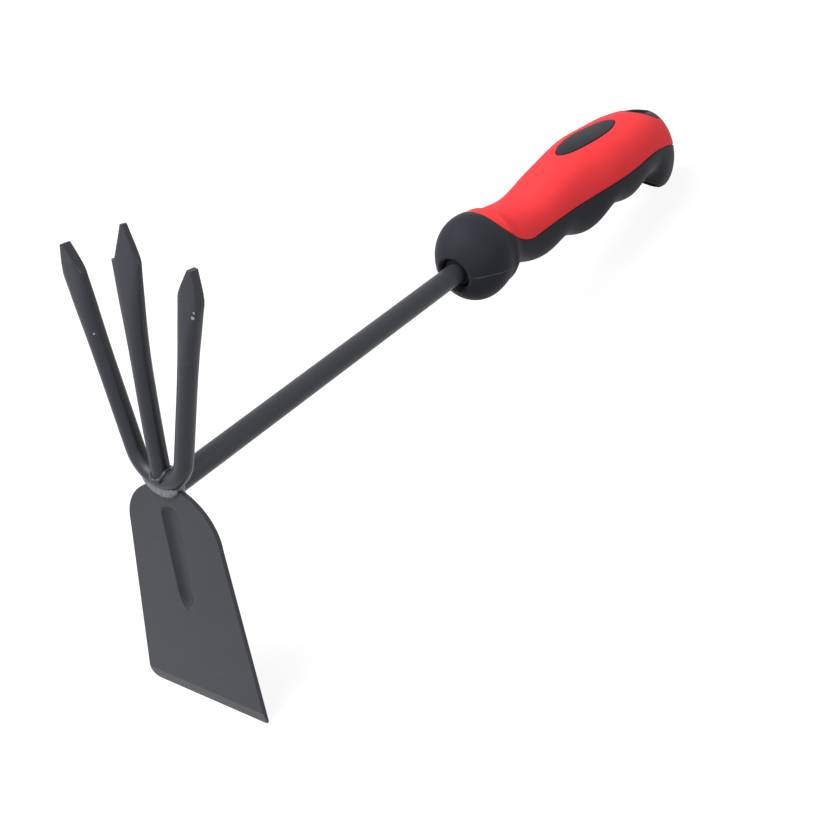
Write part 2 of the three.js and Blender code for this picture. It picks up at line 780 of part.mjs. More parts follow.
function hangBore() {
  const through = 2 * (gripRise + gripDrop);
  const ball = (dishRadius ** 2 + dishDepth ** 2) / (2 * dishDepth);
  const dish = Array.from({ length: dishSteps + 1 }, (_, i) => {
    const radius = lerp(hangRadius, dishRadius, i / dishSteps);
    return new THREE.Vector2(radius, ball - dishDepth - Math.sqrt(ball ** 2 - radius ** 2));
  });
  const outline = [
    new THREE.Vector2(0, -through), new THREE.Vector2(hangRadius, -through), ...dish,
    new THREE.Vector2(dishRadius * dishFlareShare, cutOverrun), new THREE.Vector2(0, cutOverrun),
  ];
  return solidFromGeometry(new THREE.LatheGeometry(outline, hangSides).applyMatrix4(hangPlace));
}

// The mouth of the ball: a recess round the bar with a rounded lip.
function recess() {
  const mouth = recessRadius + recessLip;
  const front = headToBall - ballFrontShare * Math.sqrt(ballRadius ** 2 - mouth ** 2);
  const lip = Array.from({ length: lipSteps + 1 }, (_, i) => {
    const angle = (Math.PI / 2) * (i / lipSteps);
    return new THREE.Vector2(mouth - recessLip * Math.cos(angle), -recessLip * (1 - Math.sin(angle)));
  });
  const outline = [
    new THREE.Vector2(0, -recessDepth), new THREE.Vector2(recessRadius, -recessDepth), ...lip,
    new THREE.Vector2(mouth, cutOverrun), new THREE.Vector2(0, cutOverrun),
  ];
  const place = new THREE.Matrix4().makeTranslation(front, 0, 0)
    .multiply(new THREE.Matrix4().makeRotationZ(Math.PI / 2));
  return solidFromGeometry(new THREE.LatheGeometry(outline, barSides).applyMatrix4(place));
}

// Assembly

function cutBy(solid, ...rooms) {
  return rooms.reduce((left, room) => left.subtract(room), solid);
}

function piece(name, solid, material) {
  const mesh = new THREE.Mesh(geometryFromSolid(solid), material);
  mesh.name = name;
  return mesh;
}

const forkRoom = forkRod(seatGap);
const tineRoom = centreRod(seatGap);
const barRoom = barForm(-cutOverrun, seatGap);
const plateRoom = bladeKeepOut();

const handleOutside = cutBy(gripOutside(), barRoom, recess(), hangBore());
const coreRoom = coreForm(seatGap);
const sleeveRoom = sleevePost(seatGap);
const handleCore = cutBy(coreForm(0), barRoom, sleeveRoom);
const redPart = handleOutside.intersect(seamRegion(seatGap / 2));

const tool = new THREE.Group();
tool.add(
  piece('hoe_blade', hoeBlade(forkRoom), steel),
  piece('outer_tines', outerTines(), steel),
  piece('centre_tine', centreTine(forkRoom), steel),
  piece('shaft', bar(plateRoom, forkRoom), steel),
  piece('weld_shaft_head', cutBy(headBeadForm(0), barRoom, plateRoom, forkRoom, tineRoom), weldSteel),
  piece('weld_blade_front', cutBy(frontBeadForm(), plateRoom, forkRoom), weldSteel),
  piece('weld_centre_tine', cutBy(footBeadForm(), tineRoom, forkRoom, headBeadForm(seatGap)), weldSteel),
  piece('handle_core', handleCore, hardPlastic),
  piece('grip_body', cutBy(handleOutside, seamRegion(-seatGap / 2), coreRoom, sleeveRoom), blackRubber),
  piece('grip_shell', cutBy(redPart, coreRoom, ovalPost(seatGap), sleeveRoom), redRubber),
  piece('thumb_inlay', handleOutside.intersect(ovalPost(0)).subtract(coreRoom), blackRubber),
  piece('hang_hole_sleeve', handleOutside.intersect(sleevePost(0)), blackRubber),
);

// Stance: the tool turns about Y until its cutting edge and its pommel are level.

function lowest(names, angle) {
  let low = Infinity;
  for (const name of names) {
    const place = tool.getObjectByName(name).geometry.attributes.position;
    for (let i = 0; i < place.count; i += 1) {
      low = Math.min(low, place.getZ(i) * Math.cos(angle) - place.getX(i) * Math.sin(angle));
    }
  }
  return low;
}

let stanceLow = 0;
let stanceHigh = Math.PI / 4;
for (let i = 0; i < stanceTries; i += 1) {
  const angle = (stanceLow + stanceHigh) / 2;
  if (lowest(['hoe_blade'], angle) < lowest(['grip_body', 'hang_hole_sleeve'], angle)) stanceLow = angle;
  else stanceHigh = angle;
}
tool.rotation.y = stanceLow;

const handCultivator = new THREE.Group();
handCultivator.add(tool);
handCultivator.updateMatrixWorld(true);
const box = new THREE.Box3().setFromObject(handCultivator, true);
const middle = box.getCenter(new THREE.Vector3());
tool.position.set(-middle.x, -middle.y, -box.min.z);

export default handCultivator;
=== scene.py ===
# %% [markdown]
# # A hand cultivator
#
# A garden hand tool with two working ends: a pressed steel hoe blade below and a fork of three
# forged tines above. Both are welded to a round steel bar that runs into a handle moulded in two
# colours of soft rubber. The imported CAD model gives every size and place. Blender adds finer
# surfaces, finishes, a camera and soft light.

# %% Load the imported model
import json
import math

import bmesh
import bpy
import numpy as np
from mathutils import Matrix, Vector

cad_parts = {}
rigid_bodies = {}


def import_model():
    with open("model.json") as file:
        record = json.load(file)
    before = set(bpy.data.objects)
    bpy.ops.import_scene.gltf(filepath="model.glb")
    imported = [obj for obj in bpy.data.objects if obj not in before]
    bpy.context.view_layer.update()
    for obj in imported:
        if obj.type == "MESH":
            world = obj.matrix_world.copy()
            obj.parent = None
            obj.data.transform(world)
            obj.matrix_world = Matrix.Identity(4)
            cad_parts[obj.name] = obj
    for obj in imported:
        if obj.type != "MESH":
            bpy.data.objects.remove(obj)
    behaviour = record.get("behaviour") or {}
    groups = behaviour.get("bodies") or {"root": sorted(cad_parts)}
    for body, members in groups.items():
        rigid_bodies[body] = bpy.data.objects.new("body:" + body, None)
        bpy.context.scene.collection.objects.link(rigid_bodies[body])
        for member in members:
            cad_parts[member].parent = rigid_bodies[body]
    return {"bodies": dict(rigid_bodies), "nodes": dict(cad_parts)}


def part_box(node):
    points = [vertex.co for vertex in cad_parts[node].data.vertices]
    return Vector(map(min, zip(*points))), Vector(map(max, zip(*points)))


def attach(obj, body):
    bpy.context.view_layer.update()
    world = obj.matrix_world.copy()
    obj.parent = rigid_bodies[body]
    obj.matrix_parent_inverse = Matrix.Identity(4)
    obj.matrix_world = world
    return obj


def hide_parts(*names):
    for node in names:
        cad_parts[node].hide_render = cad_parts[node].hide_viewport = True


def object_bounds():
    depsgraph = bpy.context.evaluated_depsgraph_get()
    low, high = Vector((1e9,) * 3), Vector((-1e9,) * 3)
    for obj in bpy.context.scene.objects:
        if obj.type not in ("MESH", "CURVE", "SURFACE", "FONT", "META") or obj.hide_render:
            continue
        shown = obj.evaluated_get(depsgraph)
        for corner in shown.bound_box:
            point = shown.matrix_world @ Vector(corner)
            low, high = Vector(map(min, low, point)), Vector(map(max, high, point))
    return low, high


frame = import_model()
cad_low, cad_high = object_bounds()
BODY = next(iter(frame["bodies"]))
print("nodes:", len(frame["nodes"]), "body:", BODY)

# %% [markdown]
# ## The tool's own drawing
#
# The tool is easiest to draw along its bar: x from the head to the butt, y to the left and z
# towards the tines, in millimetres, from the point where the bar's axis meets the front of the
# blade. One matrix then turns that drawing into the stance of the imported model, in metres. The
# alternative is to write every point in the leaning stance, which hides the symmetry of the tool.

# %% From the drawing to the frame
MM = 0.001
TOOL_TURN = math.radians(9.79125)
TOOL_SHIFT = Vector((-141.3221, 0.0, 77.9679))
TO_FRAME = (
    Matrix.Scale(MM, 4) @ Matrix.Translation(TOOL_SHIFT) @ Matrix.Rotation(TOOL_TURN, 4, "Y")
)
print("butt at", [round(v, 4) for v in TO_FRAME @ Vector((309.7, 0.0, 0.0))])

# %% [markdown]
# ## Camera
#
# The photograph looks down on the tool from its front right. The eye's place and directions were
# worked out from points of the tool that can be named on the photograph, such as the corners of
# the blade. They are written in the tool's own drawing, so they stay right if its stance changes.
# A 69 mm lens at half a metre gives the mild perspective of a product picture.

# %% Camera at the photograph's viewing angle
SENSOR = 36.0
FOCAL_PIXELS = 1593.55
IMAGE_PIXELS = 828
EYE = Vector((-252.25, -350.86, 259.12))
EYE_RIGHT = Vector((0.6038, -0.7793, -0.1676))
EYE_UP = Vector((0.4943, 0.2011, 0.8457))


def put_in_scene(name, data):
    """A new object in the scene."""
    made = bpy.data.objects.new(name, data)
    bpy.context.scene.collection.objects.link(made)
    return made


turned = TO_FRAME.to_3x3().normalized()
right = (turned @ EYE_RIGHT).normalized()
back = right.cross(turned @ EYE_UP).normalized()
up = back.cross(right)
camera_data = bpy.data.cameras.new("camera")
camera_data.sensor_width = SENSOR
camera_data.lens = FOCAL_PIXELS / IMAGE_PIXELS * SENSOR
camera_data.clip_start = 0.02
camera_data.clip_end = 50.0
camera = put_in_scene("camera", camera_data)
facing = Matrix((right, up, back)).transposed().to_4x4()
camera.matrix_world = Matrix.Translation(TO_FRAME @ EYE) @ facing
bpy.context.scene.camera = camera
bpy.context.scene.view_settings.view_transform = "Standard"
print("lens", round(camera_data.lens, 2), "mm, eye at", [round(v, 3) for v in camera.location])

# %% [markdown]
# ## Colours and nodes
#
# Colours are written as the hex values that a painter or a web page would use, and one function
# turns them into the linear light that Blender's sockets expect. One more function adds a shader
# node with its settings and links, so a material reads as a short list of what feeds what.

# %% Helpers for colours, nodes and materials
def linear(code):
    """An sRGB hex colour as linear RGBA."""
    parts = [int(code[i:i + 2], 16) / 255 for i in (1, 3, 5)]
    curved = [p / 12.92 if p <= 0.04045 else ((p + 0.055) / 1.055) ** 2.4 for p in parts]
    return (*curved, 1.0)


def add(tree, kind, inputs=None, **settings):
    """Adds a node, sets its properties, and links or fills its sockets."""
    node = tree.nodes.new(kind)
    for key, value in settings.items():
        setattr(node, key, value)
    for socket, value in (inputs or {}).items():
        if isinstance(value, bpy.types.NodeSocket):
            tree.links.new(value, node.inputs[socket])
        else:
            node.inputs[socket].default_value = value
    return node


def new_material(name):
    """An empty node material and its tree."""
    made = bpy.data.materials.new(name)
    made.use_nodes = True
    made.node_tree.nodes.clear()
    return made, made.node_tree


def seen_directly(tree):
    """1 for rays from the camera, a mirror or a glass, 0 for the light that falls on things."""
    path = add(tree, "ShaderNodeLightPath").outputs
    seen = path["Is Camera Ray"]
    for kind in ("Is Glossy Ray", "Is Transmission Ray"):
        seen = add(tree, "ShaderNodeMath", {0: seen, 1: path[kind]}, operation="MAXIMUM").outputs[0]
    return seen


print("mid grey #808080 is", round(linear("#808080")[0], 4), "in linear light")

# %% [markdown]
# ## Floor and backdrop
#
# The tool stands on a pale sweep, as in a small photo studio. A plain diffuse floor takes the
# soft shadow under the tool. A white floor would throw so much light up that the dark underside
# of the handle turned grey, so the paper is a middle grey, and rays that look straight at it or
# see it in a mirror find a glow on top, by way of the Light Path node, which makes it white.
# Raising the lamps instead would bleach the tool.

# %% Pale floor
FLOOR_HALF = 6.0
FLOOR_GAP = 0.2 * MM
FLOOR_GLOW = 0.88
floor_material, tree = new_material("matt paper sweep")
lift = add(tree, "ShaderNodeMath", {0: seen_directly(tree), 1: FLOOR_GLOW}, operation="MULTIPLY")
paper = add(tree, "ShaderNodeBsdfDiffuse", {"Color": linear("#707070")})
glow = add(tree, "ShaderNodeEmission", {"Color": linear("#ffffff"), "Strength": lift.outputs[0]})
both = add(tree, "ShaderNodeAddShader", {0: paper.outputs[0], 1: glow.outputs[0]})
add(tree, "ShaderNodeOutputMaterial", {"Surface": both.outputs[0]})
floor_mesh = bpy.data.meshes.new("floor")
corners = [(-FLOOR_HALF, -FLOOR_HALF, 0), (FLOOR_HALF, -FLOOR_HALF, 0),
           (FLOOR_HALF, FLOOR_HALF, 0), (-FLOOR_HALF, FLOOR_HALF, 0)]
floor_mesh.from_pydata(corners, [], [(0, 1, 2, 3)])
floor_mesh.materials.append(floor_material)
floor = put_in_scene("floor", floor_mesh)
floor.location.z = cad_low.z - FLOOR_GAP
print("floor at z", round(floor.location.z, 5))

# %% [markdown]
# ## Light
#
# Product pictures use big soft lamps, because small ones leave hard spots on rubber. Here a large
# lamp high on the left of the picture models the forms, a weaker one on the right lifts the side
# of the handle, and a dim white room fills the rest. Seen directly or in the clear layer of the
# paint, the room is white, which draws light edges along the bar and the tines. An image of a
# real studio would do the same, but this scene uses no images.

# %% World and lamps
ROOM_LIGHT = 0.22
ROOM_SEEN = 0.95
world = bpy.data.worlds.new("white room")
bpy.context.scene.world = world
world.use_nodes = True
tree = world.node_tree
tree.nodes.clear()
room = add(tree, "ShaderNodeBackground", {"Color": linear("#ffffff"), "Strength": ROOM_LIGHT})
white = add(tree, "ShaderNodeBackground", {"Color": linear("#ffffff"), "Strength": ROOM_SEEN})
shown = add(tree, "ShaderNodeMixShader",
            {"Fac": seen_directly(tree), 1: room.outputs[0], 2: white.outputs[0]})
add(tree, "ShaderNodeOutputWorld", {"Surface": shown.outputs[0]})


def soft_lamp(name, place, size, watts):
    """A square lamp that looks at the middle of the tool."""
    lamp = bpy.data.lights.new(name, "AREA")
    lamp.shape = "SQUARE"
    lamp.size = size
    lamp.energy = watts
    made = put_in_scene(name, lamp)
    aim = (cad_low + cad_high) / 2 - Vector(place)
    made.location = place
    made.rotation_euler = aim.to_track_quat("-Z", "Y").to_euler()


soft_lamp("key lamp", (-0.6, 0.4, 1.35), 1.2, 39.0)
soft_lamp("fill lamp", (0.0, -1.3, 0.75), 1.0, 11.0)

# %% [markdown]
# ## Powder-coated steel
#
# The head and the bar are steel with a satin powder coat in dark slate grey. Powder is baked on,
# so it flows into soft edges and leaves a very fine orange peel, drawn here at 0.6 mm with low
# relief. The coat is a plastic film, so it is not metallic and has an IOR of about 1.5, and its
# smooth top skin adds a weak clear layer. Faint streaks, a slow change of tone and a few chips
# down to the bare steel keep large faces from looking printed.

# %% Material: powder-coated steel
PEEL = 1 / (0.6 * MM)
STREAK = 1 / (1.1 * MM)
STREAK_STRETCH = (1.0, 0.07, 1.0)
CLOUD = 1 / (22 * MM)
RUBBED = "#5a5c62"
BARE_STEEL = "#8e9094"
# Each chip has a place in the tool's drawing and a radius in millimetres.
CHIPS = [((7.0, -27.0, 62.9), 0.6), ((7.2, -27.7, 64.5), 0.35), ((4.9, 18.5, 50.0), 0.42)]
CHIP_RAGGED_SHARE = 0.9
CHIP_EDGE_SHARES = (1.3, 1.5)


def near_spot(tree, place, spot, radius, ragged):
    """1 within a small ragged spot of the surface, 0 elsewhere."""
    away = add(tree, "ShaderNodeVectorMath", {0: place, 1: TO_FRAME @ Vector(spot)}, operation="DISTANCE")
    uneven = add(tree, "ShaderNodeMath",
                 {0: ragged, 1: CHIP_RAGGED_SHARE * radius * MM, 2: away.outputs["Value"]},
                 operation="MULTIPLY_ADD")
    full, none = [share * radius * MM for share in CHIP_EDGE_SHARES]
    edge = add(tree, "ShaderNodeMapRange",
               {"Value": uneven.outputs[0], "From Min": full, "From Max": none, "To Min": 1.0, "To Max": 0.0})
    return edge.outputs["Result"]


def powder_coat(name, low, high, roughness, chips=()):
    """A baked coat between two tones, with chips at some spots."""
    made, tree = new_material(name)
    place = add(tree, "ShaderNodeTexCoord").outputs["Object"]
    cloud = add(tree, "ShaderNodeTexNoise", {"Vector": place, "Scale": CLOUD, "Detail": 4.0})
    tone = add(tree, "ShaderNodeMix", {"Factor": cloud.outputs["Fac"], "A": linear(low), "B": linear(high)},
               data_type="RGBA")
    peel = add(tree, "ShaderNodeTexNoise", {"Vector": place, "Scale": PEEL, "Detail": 2.0})
    rough = add(tree, "ShaderNodeMapRange",
                {"Value": peel.outputs["Fac"], "To Min": roughness - 0.06, "To Max": roughness + 0.06})
    relief = add(tree, "ShaderNodeBump",
                 {"Height": peel.outputs["Fac"], "Strength": 0.25, "Distance": 0.05 * MM})
    stretched = add(tree, "ShaderNodeVectorMath", {0: place, 1: STREAK_STRETCH}, operation="MULTIPLY")
    streak = add(tree, "ShaderNodeTexNoise", {"Vector": stretched.outputs[0], "Scale": STREAK, "Detail": 2.0})
    faint = add(tree, "ShaderNodeMapRange", {"Value": streak.outputs["Fac"], "From Min": 0.66,
                                             "From Max": 0.84, "To Min": 0.0, "To Max": 0.2})
    colour = add(tree, "ShaderNodeMix", {"Factor": faint.outputs["Result"], "A": tone.outputs["Result"],
                 "B": linear(RUBBED)}, data_type="RGBA").outputs["Result"]
    for spot, radius in chips:
        bare = near_spot(tree, place, spot, radius, peel.outputs["Fac"])
        colour = add(tree, "ShaderNodeMix", {"Factor": bare, "A": colour, "B": linear(BARE_STEEL)},
                     data_type="RGBA").outputs["Result"]
    coat = add(tree, "ShaderNodeBsdfPrincipled",
               {"Base Color": colour, "Roughness": rough.outputs["Result"], "IOR": 1.5,
                "Specular IOR Level": 0.22, "Coat Weight": 0.15, "Coat Roughness": 0.25,
                "Normal": relief.outputs["Normal"]})
    add(tree, "ShaderNodeOutputMaterial", {"Surface": coat.outputs[0]})
    return made


steel_coat = powder_coat("powder-coated steel", "#27292f", "#303238", 0.42, CHIPS)
# The weld beads wear the same powder coat as the steel. Their much lighter tones are painted highlight,
# standing in for the light that a bead catches.
weld_coat_painted_highlight = powder_coat("powder-coated weld bead, painted highlight", "#64676b", "#74777b", 0.36)
print("steel finishes:", steel_coat.name, "and", weld_coat_painted_highlight.name)

# %% [markdown]
# ## Soft rubber
#
# The grip is thermoplastic rubber moulded over a hard core: red on top and black below. Such
# rubber is matt and a little dusty to the eye, so it has a high roughness, an IOR near 1.5 and a
# faint sheen. The mould's blasted steel leaves a grain of about 0.3 mm, too fine to count in the
# picture but enough to soften the highlights.

# %% Material: moulded rubber
GRAIN = 1 / (0.35 * MM)
MOTTLE = 1 / (14 * MM)


def rubber(name, low, high, roughness, sheen):
    """A matt moulded skin between two tones."""
    made, tree = new_material(name)
    place = add(tree, "ShaderNodeTexCoord").outputs["Object"]
    mottle = add(tree, "ShaderNodeTexNoise", {"Vector": place, "Scale": MOTTLE, "Detail": 3.0})
    tone = add(tree, "ShaderNodeMix", {"Factor": mottle.outputs["Fac"], "A": linear(low), "B": linear(high)},
               data_type="RGBA")
    grain = add(tree, "ShaderNodeTexNoise", {"Vector": place, "Scale": GRAIN, "Detail": 3.0})
    rough = add(tree, "ShaderNodeMapRange",
                {"Value": grain.outputs["Fac"], "To Min": roughness - 0.07, "To Max": roughness + 0.07})
    relief = add(tree, "ShaderNodeBump",
                 {"Height": grain.outputs["Fac"], "Strength": 0.35, "Distance": 0.04 * MM})
    skin = add(tree, "ShaderNodeBsdfPrincipled",
               {"Base Color": tone.outputs["Result"], "Roughness": rough.outputs["Result"],
                "IOR": 1.5, "Specular IOR Level": 0.05, "Sheen Weight": sheen, "Sheen Roughness": 0.4,
                "Normal": relief.outputs["Normal"]})
    add(tree, "ShaderNodeOutputMaterial", {"Surface": skin.outputs[0]})
    return made


black_rubber = rubber("black thermoplastic rubber", "#25262b", "#2d2e34", 0.6, 0.12)
red_rubber = rubber("red thermoplastic rubber", "#e5393d", "#eb4145", 0.6, 0.02)
# The flash is drawn in a lighter grey than the black rubber.
rubber_flash = rubber("lighter grey rubber flash", "#46474c", "#55565b", 0.6, 0.1)
core_plastic = rubber("moulded polypropylene core", "#242527", "#2c2d30", 0.4, 0.0)
print("handle finishes:", black_rubber.name, "and", red_rubber.name)

# %% [markdown]
# ## Building pieces from rows of points
#
# Every form below is a skin over rows of points: rings round a rod, or lines down a plate. That
# gives an even mesh of four-sided faces that shades smoothly. A boolean would be quicker to write,
# but leaves long thin triangles that show on a glossy surface.

# %% Helpers for skins
def power(value, exponent):
    """A power that keeps the sign."""
    return np.sign(value) * np.abs(value) ** exponent


def mix(a, b, share):
    """A value between two others."""
    return a + (b - a) * share


def ease(value, low, high):
    """A smooth step from 0 to 1."""
    t = np.clip((value - low) / (high - low), 0, 1)
    return t * t * (3 - 2 * t)


def quads(rows, columns, wrap=False, loop=False):
    """Faces between neighbouring rows. wrap closes the columns, loop closes the rows."""
    faces = []
    for i in range(rows if loop else rows - 1):
        here, there = i * columns, (i + 1) % rows * columns
        for j in range(columns if wrap else columns - 1):
            k = (j + 1) % columns
            faces.append((here + j, here + k, there + k, there + j))
    return faces


def rod_faces(rows, sides):
    """Faces round a row of rings, with a cap at each end."""
    last = (rows - 1) * sides
    return quads(rows, sides, wrap=True) + [tuple(range(sides)), tuple(range(last, last + sides))]


def finish_piece(name, points, faces, finish, node, sharp=32.0, sink=None):
    """Makes a piece in the tool's drawing, moves it to the frame and lets it stand for a CAD node."""
    shell = bmesh.new()
    for point in np.asarray(points, float).reshape(-1, 3):
        shell.verts.new(point)
    shell.verts.ensure_lookup_table()
    for face in faces:
        shell.faces.new([shell.verts[i] for i in face])
    bmesh.ops.remove_doubles(shell, verts=shell.verts, dist=0.004)
    bmesh.ops.dissolve_degenerate(shell, edges=shell.edges, dist=0.002)
    bmesh.ops.delete(shell, geom=[e for e in shell.edges if not e.link_faces], context="EDGES")
    bmesh.ops.delete(shell, geom=[v for v in shell.verts if not v.link_faces], context="VERTS")
    bmesh.ops.recalc_face_normals(shell, faces=shell.faces)
    if sink is not None:
        shell.normal_update()
        places = np.array([v.co for v in shell.verts])
        for vertex, depth in zip(shell.verts, sink(places)):
            vertex.co -= vertex.normal * depth
    mesh = bpy.data.meshes.new(name)
    shell.to_mesh(mesh)
    shell.free()
    mesh.transform(TO_FRAME)
    mesh.shade_smooth()
    mesh.set_sharp_from_angle(angle=math.radians(sharp))
    mesh.materials.append(finish)
    made = put_in_scene(name, mesh)
    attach(made, BODY)
    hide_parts(node)
    low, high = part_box(node)
    spots = np.array([v.co for v in mesh.vertices])
    off = max(np.abs(spots.min(0) - low).max(), np.abs(spots.max(0) - high).max()) / MM
    print(name, len(mesh.polygons), "faces, box within", round(off, 2), "mm of", node)
    return made


def oval(across, thick, exponent, sides):
    """Widths and depths round an ellipse (exponent 2) or a rounded rectangle (more than 2)."""
    turn = 2 * np.pi * np.arange(sides) / sides
    return across * power(np.cos(turn), 2 / exponent), thick * power(np.sin(turn), 2 / exponent)


def place_ring(centre, across_axis, thick_axis, wide, deep):
    """Points at some widths and depths from a centre."""
    return (np.asarray(centre)[None, :] + wide[:, None] * np.asarray(across_axis)[None, :]
            + deep[:, None] * np.asarray(thick_axis)[None, :])


def oval_ring(centre, across_axis, thick_axis, across, thick, exponent, sides):
    """A ring of points round an oval."""
    return place_ring(centre, across_axis, thick_axis, *oval(across, thick, exponent, sides))


def turn_y(points, degrees):
    """Turns points about the y axis, z towards x."""
    cosine, sine = math.cos(math.radians(degrees)), math.sin(math.radians(degrees))
    x, y, z = np.moveaxis(np.asarray(points, float), -1, 0)
    return np.stack([x * cosine + z * sine, y, z * cosine - x * sine], axis=-1)


print("ring check:", oval_ring((0, 0, 0), (0, 1, 0), (0, 0, 1), 2, 1, 2, 4).round(3).tolist())

# %% [markdown]
# ## The bar
#
# The bar is plain 8 mm round steel. Inside the handle its end is pressed flat, so that the moulded
# core can't turn on it. Rings of points along the axis make both forms in one skin. The first ring
# sits inside the blade's plate, where the weld hides it.

# %% Bar
BAR_RADIUS = 4.0
BAR_SIDES = 64
TANG_HALF_WIDTH = 5.6
TANG_HALF_THICKNESS = 2.6
HEAD_TO_BALL = 166.6
TANG_START = HEAD_TO_BALL + 18.0
TANG_PRESSED = TANG_START + 14.0
BAR_START = 1.1
BAR_END = 263.5
PRESSED_EXPONENT = 3.2

places = [BAR_START, *np.linspace(8, TANG_START, 12), *np.linspace(TANG_START, TANG_PRESSED, 8)[1:], BAR_END]
rings = []
for x in places:
    press = ease(x, TANG_START, TANG_PRESSED)
    rings.append(oval_ring((x, 0, 0), (0, 1, 0), (0, 0, 1), mix(BAR_RADIUS, TANG_HALF_WIDTH, press),
                           mix(BAR_RADIUS, TANG_HALF_THICKNESS, press), mix(2, PRESSED_EXPONENT, press),
                           BAR_SIDES))
faces = rod_faces(len(rings), BAR_SIDES)
finish_piece("steel_bar", rings, faces, steel_coat, "shaft")

# %% [markdown]
# ## The forged tines
#
# The two outer tines are one 6.2 mm rod bent into a U. Each end is forged flat, thinner towards
# the tip, and then sheared to a point with two straight cuts. The skin follows the rod: its
# section goes from round to a flat rounded bar, and near the tip every point outside a cut is
# moved onto the cut, which leaves the same flat facet that shears leave.

# %% Sections of a forged tine
ROD_RADIUS = 3.1
TINE_SIDES = 56
THINNED_SHARE = 2.2
CREASE = 0.02


def tine_ring(centre, across_axis, thick_axis, distance, tine):
    """A ring of a tine at a distance from its tip, clipped by the two cuts of its point."""
    press = np.clip((tine["forged"] - distance) / (tine["forged"] - tine["point"]), 0, 1) ** tine["blend"]
    across = mix(ROD_RADIUS, tine["half_width"], press)
    thick = mix(ROD_RADIUS, tine["half_thickness"], press)
    thick *= mix(tine["thin"], 1, ease(distance, 0, tine["point"] * THINNED_SHARE))
    wide, deep = oval(across, thick, mix(2, PRESSED_EXPONENT, press), TINE_SIDES)
    if distance < tine["point"]:
        share = distance / tine["point"]
        left = mix(tine["tip"] - tine["shift"], tine["half_width"] - tine["ledge"], share)
        right_side = mix(-tine["tip"] - tine["shift"], -tine["half_width"], share)
        wide = np.clip(wide, right_side, left)
    return place_ring(centre, across_axis, thick_axis, wide, deep)


def tine_distances(tine, length):
    """Distances from the tip: close where the point is cut and where the rod is forged."""
    point = np.linspace(0, tine["point"] - CREASE, 8)
    forged = np.linspace(tine["point"] + CREASE, tine["forged"], 24)
    plain = np.linspace(tine["forged"], length, 6)[1:]
    return np.concatenate([point, forged, plain])


OUTER = {"forged": 49.0, "point": 10.0, "half_width": 4.6, "half_thickness": 2.6, "tip": 0.75,
         "shift": 0.0, "ledge": 0.0, "blend": 2.85, "thin": 0.6}
MIDDLE = {"forged": 48.0, "point": 11.4, "half_width": 6.1, "half_thickness": 2.1, "tip": 0.5,
          "shift": 0.7, "ledge": 2.1, "blend": 1.75, "thin": 0.45}
print("an outer tine has", len(tine_distances(OUTER, 70)), "rings")

# %% Outer tines
FORK_SETBACK = 0.6
FORK_RISE = 4.0
FORK_LEAN = 8.0
FORK_BEND = 11.4
FORK_SPLAY = 14.4
FORK_REACH = 73.3

splay_turn = math.radians(90 - FORK_SPLAY)
bend_length = FORK_BEND * splay_turn
leg_start = np.array([0, FORK_BEND * math.sin(splay_turn), FORK_BEND * (1 - math.cos(splay_turn))])
leg_line = np.array([0, math.cos(splay_turn), math.sin(splay_turn)])
leg_length = (FORK_REACH - leg_start[2]) / leg_line[2]
reach = bend_length + leg_length


def fork_ring(run, side):
    """A ring of the U rod at a distance from the bottom of its bend."""
    if run < bend_length:
        turn = run / FORK_BEND
        centre = np.array([0, FORK_BEND * math.sin(turn), FORK_BEND * (1 - math.cos(turn))])
        line = np.array([0, math.cos(turn), math.sin(turn)])
    else:
        centre = leg_start + leg_line * (run - bend_length)
        line = leg_line.copy()
    centre[1] *= side
    line[2] *= side
    ring = tine_ring(centre, (0, -line[2], line[1]), (1, 0, 0), reach - run, OUTER)
    return turn_y(ring, FORK_LEAN) + np.array([FORK_SETBACK, 0, FORK_RISE])


runs = np.concatenate([reach - tine_distances(OUTER, leg_length), np.linspace(bend_length, 0, 18)[1:]])
rings = [fork_ring(run, 1) for run in runs] + [fork_ring(run, -1) for run in runs[-2::-1]]
faces = rod_faces(len(rings), TINE_SIDES)
finish_piece("forged_outer_tines", rings, faces, steel_coat, "outer_tines")

# %% [markdown]
# ## The middle tine
#
# The third tine is a rod of its own, welded into the crotch of the U. It bows a little, and its
# point was sheared slightly off centre, which left a small barb on one shoulder. Such a small
# fault of manufacture is kept, because it is what tells a real forging from a drawing.

# %% Middle tine
MIDDLE_SETBACK = 0.5
MIDDLE_BOW = 1.8
foot = np.array([MIDDLE_SETBACK, 0, FORK_RISE + ROD_RADIUS / 2])
tip = np.array([12.4, 0, 86.3])
bow = (foot + tip) / 2 - (MIDDLE_BOW, 0, 0)


def bowed(share):
    """A place along the middle tine's line, from foot to tip."""
    return (1 - share) ** 2 * foot + 2 * share * (1 - share) * bow + share ** 2 * tip


shares = np.linspace(0, 1, 400)[:, None]
steps = np.linalg.norm(np.diff(bowed(shares), axis=0), axis=1)
from_foot = np.concatenate([[0], np.cumsum(steps)])
length = from_foot[-1]

rings = []
for distance in tine_distances(MIDDLE, length):
    share = np.interp(length - distance, from_foot, shares[:, 0])
    line = (1 - share) * (bow - foot) + share * (tip - bow)
    line /= np.linalg.norm(line)
    rings.append(tine_ring(bowed(share), (0, 1, 0), np.cross((0, 1, 0), line), distance, MIDDLE))
faces = rod_faces(len(rings), TINE_SIDES)
finish_piece("forged_middle_tine", rings, faces, steel_coat, "centre_tine")

# %% [markdown]
# ## The hoe blade
#
# The blade is a blanked plate, 1.6 mm thick, with an arched crown, sides that widen downwards and
# a groove pressed in for stiffness. The last few millimetres of its face are ground back to a
# cutting edge. The plate is drawn as lines across it. Their ends follow the outline, and the depth
# of each point comes from the groove and the bevel, so both faces shade as one smooth pressing.

